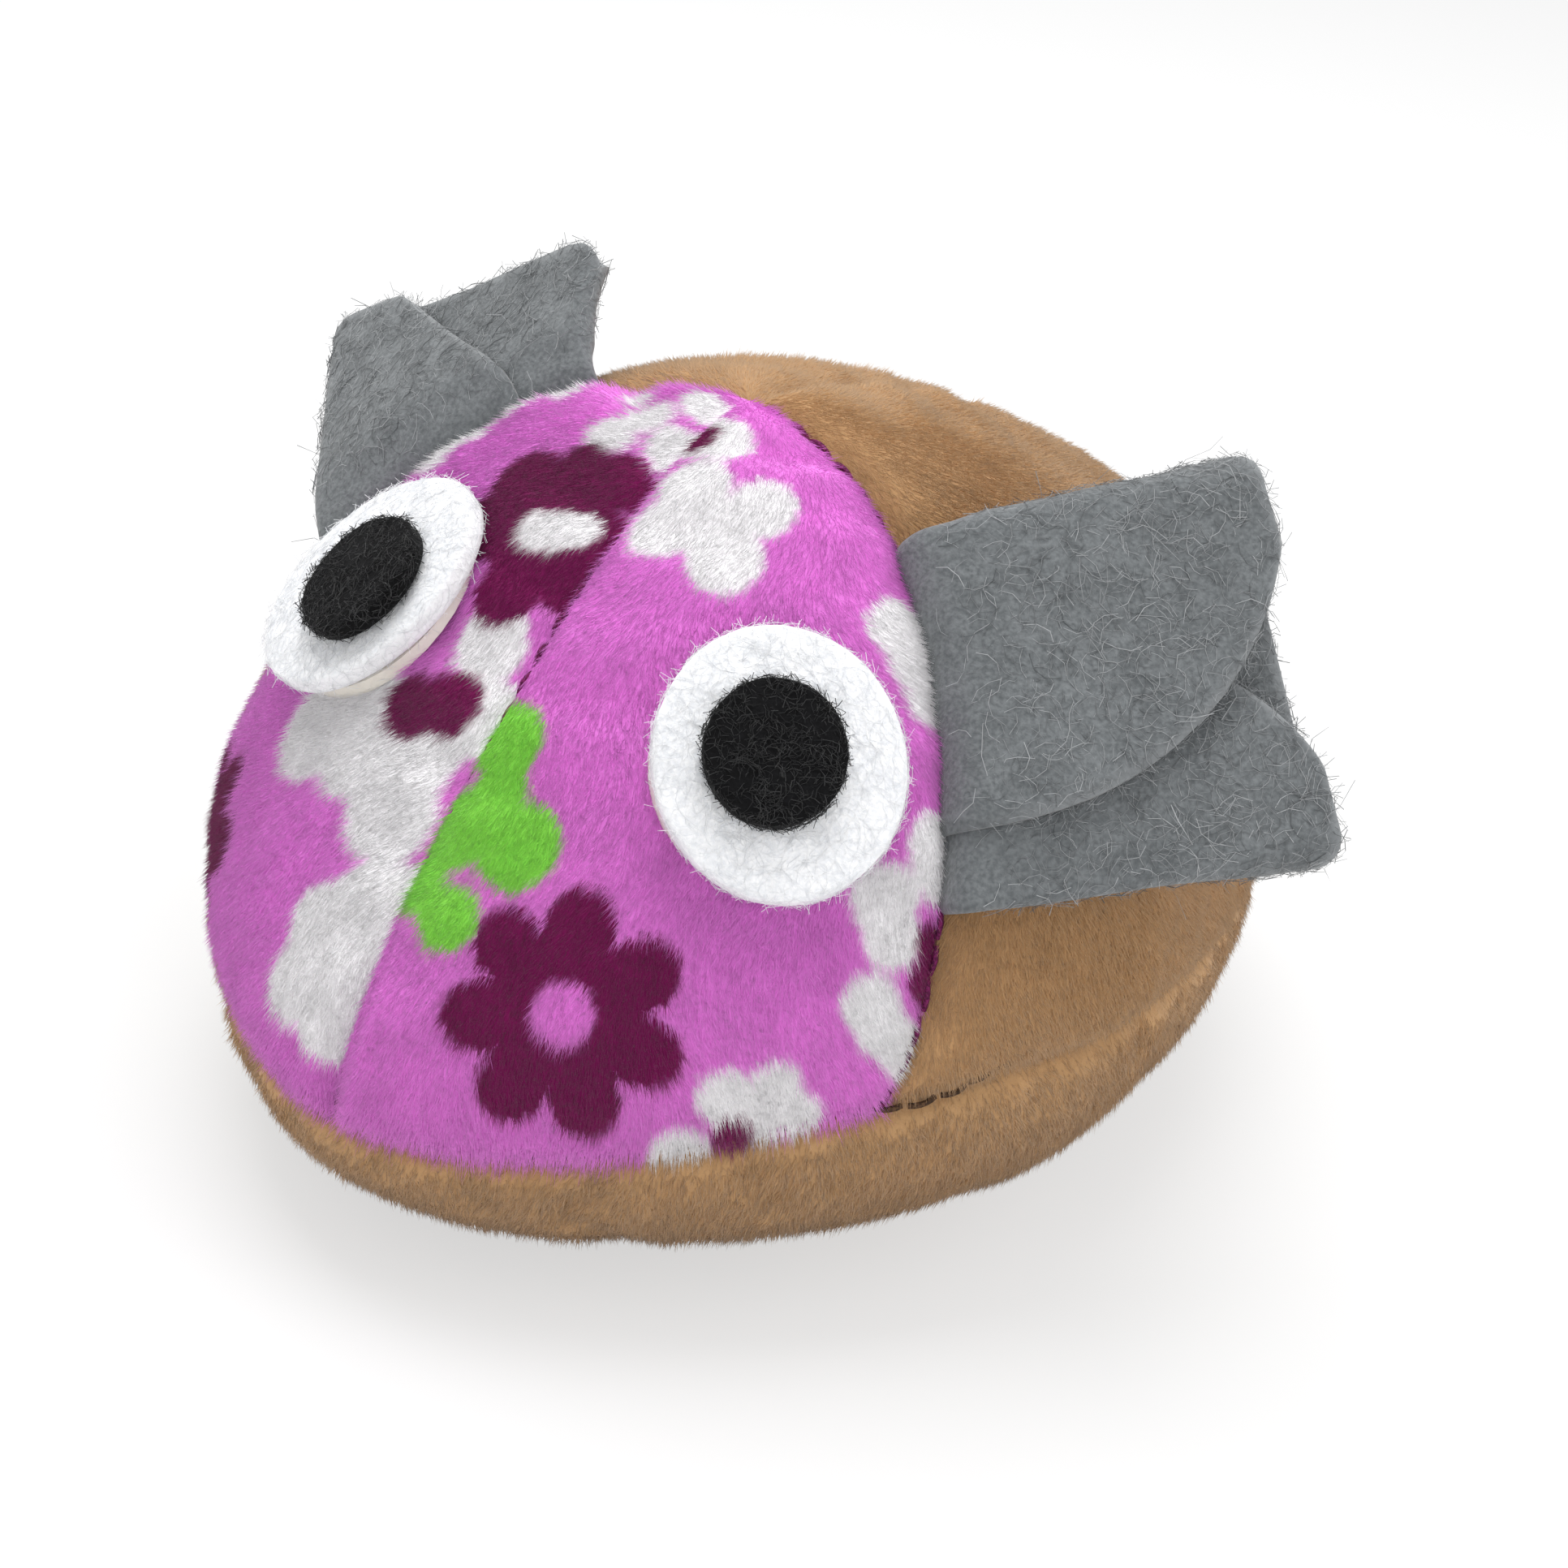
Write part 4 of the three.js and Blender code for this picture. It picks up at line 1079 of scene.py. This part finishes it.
def ear_middle(ear):
    """Middle surface of the whole felt, from its root in the filling to its cut tip, with its thickness."""
    origin, along, out, face, root_length = ear_frame(ear)
    half_stack = FELT_PRESSED + FELT_GAP
    section, pressed_thickness, _ = ear_section(ear, root_length, 0.0)
    a, _, h = section.T[..., None]
    rise = mix(*ear["root"], np.clip(a[:, 0] / root_length + 0.5, 0, 1))
    seam = puffed(neck_turn(rise), rise)
    normal = outward(neck_turn(rise), rise)
    hugging = seam + normal * EAR_HINGE_HEIGHT - origin - along * a
    later, earlier = rise + SEAM_STEP, rise - SEAM_STEP
    run = unit(puffed(neck_turn(later), later) - puffed(neck_turn(earlier), earlier))
    aside = np.cross(run, normal)
    aside = aside * np.sign(aside @ face)[:, None]
    pressed = aside * (h - half_stack) * EAR_TAB_PRESS
    hinge = origin + hugging + along * a + face * (h - half_stack) * EAR_HINGE_PRESS
    rows = []
    thicknesses = []
    shares = 1 - (1 - np.linspace(0, 1, EAR_ROWS)) ** EAR_ROW_GATHER
    for s in shares:
        section, thickness, short = ear_section(ear, root_length, s)
        a, o, h = section.T[..., None]
        rows.append(origin + along * a + out * (o + EAR_ROOT_START) + face * (h - half_stack))
        thicknesses.append(thickness)
    rows = np.array(rows) + hugging * ((1 - shares) ** EAR_HUG_FADE)[:, None, None]
    reach = (1 - short / np.linalg.norm(rows[-1] - rows[0], axis=-1)) * shares[:, None]
    for column in range(rows.shape[1]):
        for k in range(3):
            rows[:, column, k] = np.interp(reach[:, column], shares, rows[:, column, k])
    levels = [seam - normal * EAR_TAB_DEPTH + pressed, seam + pressed, hinge, rows[0]]
    root = [mix(low, high, t) for low, high in zip(levels, levels[1:]) for t in (0, 1 / 3, 2 / 3)]
    felt = np.concatenate([root, rows])
    first, last = EAR_BEND_FIRST, len(root) + EAR_BEND_ROWS
    for _ in range(EAR_BEND_SMOOTHING):
        beside = felt[first - 1 : last - 1] + 2 * felt[first:last] + felt[first + 1 : last + 1]
        felt[first:last] = beside / 4
    return felt, np.array([pressed_thickness] * len(root) + thicknesses)


def fibre_tree():
    """Loose curved fibres over felt."""
    tree = Growth("felt fibres", "Felt", "Fibres", "Length", "Radius", "Tilt", "Lift", "Curl")
    size = tree.size
    spots = tree.scattered(size("Fibres") * tree.field("loose"))
    upright = spots.beside("Rotation")
    lifted = tree.vector("MULTIPLY", spots.beside("Normal"), size("Lift") * tree.chance(0.0, 1.0, 1))
    spots = tree.marked(tree.moved(spots, lifted), "shade", tree.chance(0.0, 1.0, 2))
    lean = [size("Tilt") * tree.chance(-1.0, 1.0, extra) for extra in (3, 4)]
    lean = {"Euler": tree.combined(*lean, tree.chance(0.0, TURN, 5))}
    turn = {"Rotation": upright, "Rotate By": tree.node("FunctionNodeEulerToRotation", {}, lean)}
    turn = tree.node("FunctionNodeRotateRotation", {"rotation_space": "LOCAL"}, turn)
    arc = {"Resolution": 4, "Radius": 1.0, "Start Angle": -FIBRE_BEND, "Sweep Angle": 2 * FIBRE_BEND}
    arc = tree.moved(tree.node("GeometryNodeCurveArc", {}, arc), (-FIBRE_SHIFT, 0.0, 0.0))
    scale = tree.combined(*[size("Length") * tree.chance(*FIBRE_SPREAD, 6)] * 3)
    fibres = tree.copied(spots, tree.swept(arc, 3), turn, scale)
    bends = tree.vector("MULTIPLY", tree.drift(480.0, 2.0, tree.place()), size("Curl"))
    return tree.finished(tree.moved(fibres, bends))


FIBRES = fibre_tree()


def felt_finish(name, deep, high, edge, sheen=0.3):
    """Pressed wool: tangled light and dark fibres, paler along a cut edge."""

    def tangle(tree):
        return tree.noise(2600.0, 6.0) * TANGLE_FINE + tree.noise(300.0, 2.0) * (1 - TANGLE_FINE)

    def colour_of(tree):
        colour = tree.colour_mix(tree.step(tangle(tree), 0.3, 0.7), deep, high)
        return tree.colour_mix(tree.attribute("cut"), colour, edge)

    return finish(name, colour_of, tangle, roughness=1.0, sheen=sheen, bump_depth=0.0003)


def fibre_finish(name, dark, light):
    """Single fibres, some paler than others."""

    def colour_of(tree):
        return tree.colour_mix(tree.attribute("shade"), dark, light)

    return finish(name, colour_of, roughness=0.9, sheen=0.2)


GREY_FELT = felt_finish("grey felt", dye(92, 96, 98), dye(120, 124, 126), dye(142, 145, 147))
GREY_FIBRES = fibre_finish("grey fibres", dye(76, 80, 82), dye(176, 178, 180))


def fibre_sizes(per_square_mm, length, radius, tilt, lift, curl):
    return {
        "Fibres": per_square_mm,
        "Length": length,
        "Radius": radius,
        "Tilt": tilt,
        "Lift": lift,
        "Curl": curl,
    }


EAR_LINT = fibre_sizes(2.4, length=0.0017, radius=0.000023, tilt=0.14, lift=0.00018, curl=0.0011)
EAR_HAIRS = fibre_sizes(0.07, length=0.0034, radius=0.00002, tilt=0.6, lift=0.0008, curl=0.003)


def loose_fibres(name, felt, loose, material, seed, sizes):
    """Fibres that have come up from a felt piece, on the same mesh."""
    base = felt.data.copy()
    set_attribute(base, "loose", loose)
    return grown(name, base, FIBRES, {"Seed": seed, "Finish": material, **sizes})


for side, seed in (("left", 51), ("right", 54)):
    middle, thickness = ear_middle(EARS[side])
    origin, along, out, face, root_length = ear_frame(EARS[side])
    flip = np.array([1.0 if side == "left" else -1.0, 1.0, 1.0])
    normal = unit(np.cross(np.gradient(middle, axis=1), np.gradient(middle, axis=0)))
    free = ramp((middle - origin) @ out, 0, FELT_FREE)
    middle = middle + normal * (FELT_WAVE * free * ripple(middle, FELT_WAVE_SIZE))[..., None]
    half = normal * thickness[:, None, None] / 2
    mesh = sheet_mesh(f"ear_felt_{side}", (middle + half) * flip, (middle - half) * flip)
    run = np.linalg.norm(np.diff(middle, axis=1), axis=-1).cumsum(1)
    run = np.concatenate([0 * run[:, :1], run], axis=1)
    climb = np.linalg.norm(np.diff(middle, axis=0), axis=-1).cumsum(0)
    climb = np.concatenate([0 * climb[:1], climb])
    to_cut = np.minimum(np.minimum(run, run[:, -1:] - run), climb[-1:] - climb)
    cut = bell(to_cut, FELT_CUT) * free * FELT_CUT_SHARE
    set_attribute(mesh, "cut", np.tile(cut.ravel(), 2))
    ear = added(mesh, GREY_FELT)
    quads = np.cross(middle[1:, 1:] - middle[:-1, :-1], middle[1:, :-1] - middle[:-1, 1:])
    felt_area = float(np.linalg.norm(quads, axis=-1).sum() / 2)
    fuzz = np.tile(free.ravel(), 2)
    lint = loose_fibres(f"ear_lint_{side}", ear, fuzz, GREY_FIBRES, seed, EAR_LINT)
    hairs = loose_fibres(f"ear_hairs_{side}", ear, fuzz, GREY_FIBRES, seed + 1, EAR_HAIRS)
    start = origin * flip
    end = start + out * flip * EAR_BEND_LENGTH
    for piece in (ear, lint, hairs):
        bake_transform(piece)
    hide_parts(f"ear_{side}", f"ear_root_{side}")
    flat = (float(run[:, -1].max()), float(climb[-1].max()))
    min(felt_area, flat[0] * flat[1])

# Eyes: a white felt disc glued on each half of the face, with a smaller black felt disc glued on it.
# Both are cut by hand, so that their rims wander a little and let go of single fibres.
EYE_BEND_RADIUS = 0.062
DISC_SEGMENTS = 120
DISC_WANDER = 0.012
DISC_WANDER_SIZE = 1.9
DISC_NICKS = 0.004
DISC_NICK_SIZE = 0.31
DISC_CORE = 0.1
DISC_LUMPS = 0.00008
DISC_LUMP_SIZE = 0.0032
DISC_LUMPS_FROM = 0.9
DISC_LINT_FROM = 0.3
GLUE_SPREAD = (0.0335, 0.0365)
GLUE_WANDER = 0.004
WHITE_LINT = fibre_sizes(5.0, length=0.0017, radius=0.000018, tilt=0.12, lift=0.00012, curl=0.0004)
BLACK_LINT = fibre_sizes(9.0, length=0.0011, radius=0.000026, tilt=0.4, lift=0.00015, curl=0.0009)


def glue_colour(tree):
    """Clear as it dries, and tan where it was spread thick, at the outer rim of the left eye."""
    x = tree.part(tree.node("ShaderNodeTexCoord", output="Object"), "X")
    spread = tree.step(x + tree.noise(400.0, 3.0) * GLUE_WANDER, *GLUE_SPREAD)
    return tree.colour_mix(spread, dye(232, 226, 216), dye(206, 172, 118))


GLUE = finish("dried glue", glue_colour, lambda tree: tree.noise(1600.0, 3.0), roughness=0.35)
WHITE_FELT = felt_finish("white felt", dye(232, 234, 238), dye(252, 252, 253), dye(250, 250, 252))
WHITE_FIBRES = fibre_finish("white fibres", dye(228, 230, 234), dye(255, 255, 255))
BLACK_FELT = felt_finish("black felt", dye(6, 6, 7), dye(18, 18, 20), dye(8, 8, 9), sheen=0.02)
BLACK_FIBRES = fibre_finish("black fibres", dye(5, 5, 6), dye(25, 26, 28))


def disc_frame(node):
    """Foot, axis, cross directions, radius and thickness of a felt disc, from its solid."""
    points = np.array([vertex.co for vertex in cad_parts[node].data.vertices])
    centre = (points.min(0) + points.max(0)) / 2
    axis = np.linalg.svd(points - points.mean(0), full_matrices=False)[2][2]
    axis = axis * np.sign(axis @ (centre - np.array([0, CROWN_Y, BODY_HEIGHT / 3])))
    across = unit(np.cross([0, 0, 1], axis))
    rise = np.cross(axis, across)
    local = (points - centre) @ np.stack([across, rise, axis], axis=1)
    middle = (local[:, :2].min(0) + local[:, :2].max(0)) / 2
    radius = np.ptp(local[:, 0]) / 2
    core = np.hypot(*(local[:, :2] - middle).T) < radius * DISC_CORE
    foot = centre + across * middle[0] + rise * middle[1] + axis * local[core, 2].min()
    return foot, axis, across, rise, radius, np.ptp(local[core, 2])


def felt_disc(name, node, material, oval, seed):
    """Cut felt disc with a soft upper edge, in the place of its solid. It was cut a little oval: two shares
    of its radius, the first at a turn in degrees."""
    foot, axis, across, rise, radius, thick = disc_frame(node)
    bottom = [(share, 0.0) for share in (0.3, 0.6, 0.85, 0.97)]
    rim = [(1.0, height) for height in (0.08, 0.35, 0.65, 0.88)]
    top = [(0.985, 0.97), (0.95, 1.0), *[(share, 1.0) for share in np.linspace(0.88, 0.08, 14)]]
    profile = np.array(bottom + rim + top)
    turn = np.linspace(0, TURN, DISC_SEGMENTS, endpoint=False)
    ring = np.stack([np.cos(turn), np.sin(turn), 0 * turn + seed], -1)
    uneven = 1 + DISC_WANDER * ripple(ring, DISC_WANDER_SIZE) + DISC_NICKS * ripple(ring, DISC_NICK_SIZE)
    reach = radius * profile[:, :1] * uneven[None]
    height = profile[:, 1:] * thick - reach**2 / (2 * EYE_BEND_RADIUS)
    first, second, twist = oval
    twist = math.radians(twist)
    wide = across * math.cos(twist) + rise * math.sin(twist)
    tall = rise * math.cos(twist) - across * math.sin(twist)
    rings = foot + reach[..., None] * (wide * ring[:, :1] * first + tall * ring[:, 1:2] * second)
    rings = rings + height[..., None] * axis
    soft = (profile[:, 1:] > DISC_LUMPS_FROM) * DISC_LUMPS * ripple(rings, DISC_LUMP_SIZE)
    rings = rings + soft[..., None] * axis
    mesh = closed_mesh(name, *ring_solid(rings, foot, foot + axis * thick))
    loose = np.repeat(np.where(profile[:, 1] > DISC_LINT_FROM, 1.0, 0.0), DISC_SEGMENTS)
    cut = np.repeat(np.where((profile[:, 0] == 1) & (profile[:, 1] > 0), 1.0, 0.0), DISC_SEGMENTS)
    set_attribute(mesh, "cut", np.append(cut, [0, 0]))
    return added(mesh, material), np.append(loose, [0, 1]), float(radius)


for side, white_oval, black_oval, seed in (
    ("left", (0.93, 1.02, 11.0), (0.97, 1.0, 0.0), 61),
    ("right", (0.94, 1.06, -24.0), (0.98, 1.02, -24.0), 67),
):
    for name, node, look, fuzz, slot, oval, lint, kind in (
        ("eye_felt", "eye_white", WHITE_FELT, WHITE_FIBRES, "white_felt", white_oval, WHITE_LINT, 0),
        ("pupil_felt", "pupil", BLACK_FELT, BLACK_FIBRES, "black_felt", black_oval, BLACK_LINT, 2),
    ):
        disc, loose, radius = felt_disc(f"{name}_{side}", f"{node}_{side}", look, oval, seed + kind)
        fibres = loose_fibres(f"{name}_lint_{side}", disc, loose, fuzz, seed + kind, lint)
        for piece in (disc, fibres):
            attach(piece, "body")
        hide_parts(f"{node}_{side}")
        flat = (2 * radius * oval[0], 2 * radius * oval[1])
        math.pi * flat[0] * flat[1] / 4
    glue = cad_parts[f"eye_glue_{side}"]
    glue.data.materials.clear()
    glue.data.materials.append(GLUE)

# Floor, light and camera: a plain white sweep, soft daylight from above with a reflector at the right and a
# weak fill from the front, and the photograph's view.
FLOOR_SIZE = 6.0
FLOOR_GREY = 0.8
FLOOR_GLOW = 0.6
SKY_LIGHT = 0.76
WHITE = (1, 1, 1, 1)
TOY_MIDDLE = np.array([0.0, 0.0, 0.03])
VIEW_PLACE = np.array([0.11751, -0.17810, 0.12761])
VIEW_RIGHT = np.array([0.7973, 0.5923, 0.1159])
VIEW_UP = np.array([-0.3460, 0.2912, 0.8919])
VIEW_BACK = np.array([0.4946, -0.7512, 0.4371])
VIEW_LENS = 61.58
VIEW_SENSOR = 36.0

floor_mesh = bpy.data.meshes.new("floor")
floor_corners = [(x * FLOOR_SIZE / 2, y * FLOOR_SIZE / 2, 0) for x, y in ((-1, -1), (1, -1), (1, 1), (-1, 1))]
floor_mesh.from_pydata(floor_corners, [], [(0, 1, 2, 3)])
floor_material = bpy.data.materials.new("floor")
paint = bare_tree(floor_material)
seen = paint.node("ShaderNodeLightPath", output="Is Camera Ray")
plain = paint.node("ShaderNodeBsdfDiffuse", {}, {"Color": (FLOOR_GREY, FLOOR_GREY, FLOOR_GREY, 1)})
glow = paint.node("ShaderNodeEmission", {}, {"Color": WHITE, "Strength": 1.0})
floor_surface = paint.node("ShaderNodeMixShader", {}, {0: seen * FLOOR_GLOW, 1: plain, 2: glow})
paint.node("ShaderNodeOutputMaterial", {}, {"Surface": floor_surface})
floor = added(floor_mesh, floor_material)

world = bpy.data.worlds.new("daylight")
bpy.context.scene.world = world
sky = bare_tree(world)
ray = sky.node("ShaderNodeLightPath", output="Is Camera Ray")
shown = (ray + ray.beside("Is Glossy Ray") + ray.beside("Is Transmission Ray")).math("MINIMUM", 1.0)
strength = shown * (1 - SKY_LIGHT) + SKY_LIGHT
background = sky.node("ShaderNodeBackground", {}, {"Color": WHITE, "Strength": strength})
sky.node("ShaderNodeOutputWorld", {}, {"Surface": background})


def placed(right, up, back, place):
    columns = np.stack([right, up, back, place], axis=1)
    return Matrix(np.vstack([columns, [0, 0, 0, 1]]).tolist())


camera_data = bpy.data.cameras.new("view")
camera_data.lens = VIEW_LENS
camera_data.sensor_width = VIEW_SENSOR
camera_data.clip_start = 0.01
camera = linked("view", camera_data)
camera.matrix_world = placed(VIEW_RIGHT, VIEW_UP, VIEW_BACK, VIEW_PLACE)
bpy.context.scene.camera = camera

for name, direction, distance, size, power in (
    ("window", 0.02 * VIEW_RIGHT + 1.0 * VIEW_UP + 0.25 * VIEW_BACK, 0.7, 0.5, 4.0),
    ("reflector", 0.9 * VIEW_RIGHT + 0.35 * VIEW_UP + 0.3 * VIEW_BACK, 0.8, 0.6, 1.1),
    ("fill", 0.1 * VIEW_RIGHT - 0.15 * VIEW_UP + 1.0 * VIEW_BACK, 0.8, 0.6, 0.9),
):
    lamp_data = bpy.data.lights.new(name, "AREA")
    lamp_data.size = size
    lamp_data.energy = power
    aim = unit(direction)
    right = unit(np.cross([0, 0, 1], aim))
    lamp = linked(name, lamp_data)
    lamp.matrix_world = placed(right, np.cross(aim, right), aim, TOY_MIDDLE + aim * distance)

bpy.context.scene.view_settings.view_transform = "Standard"
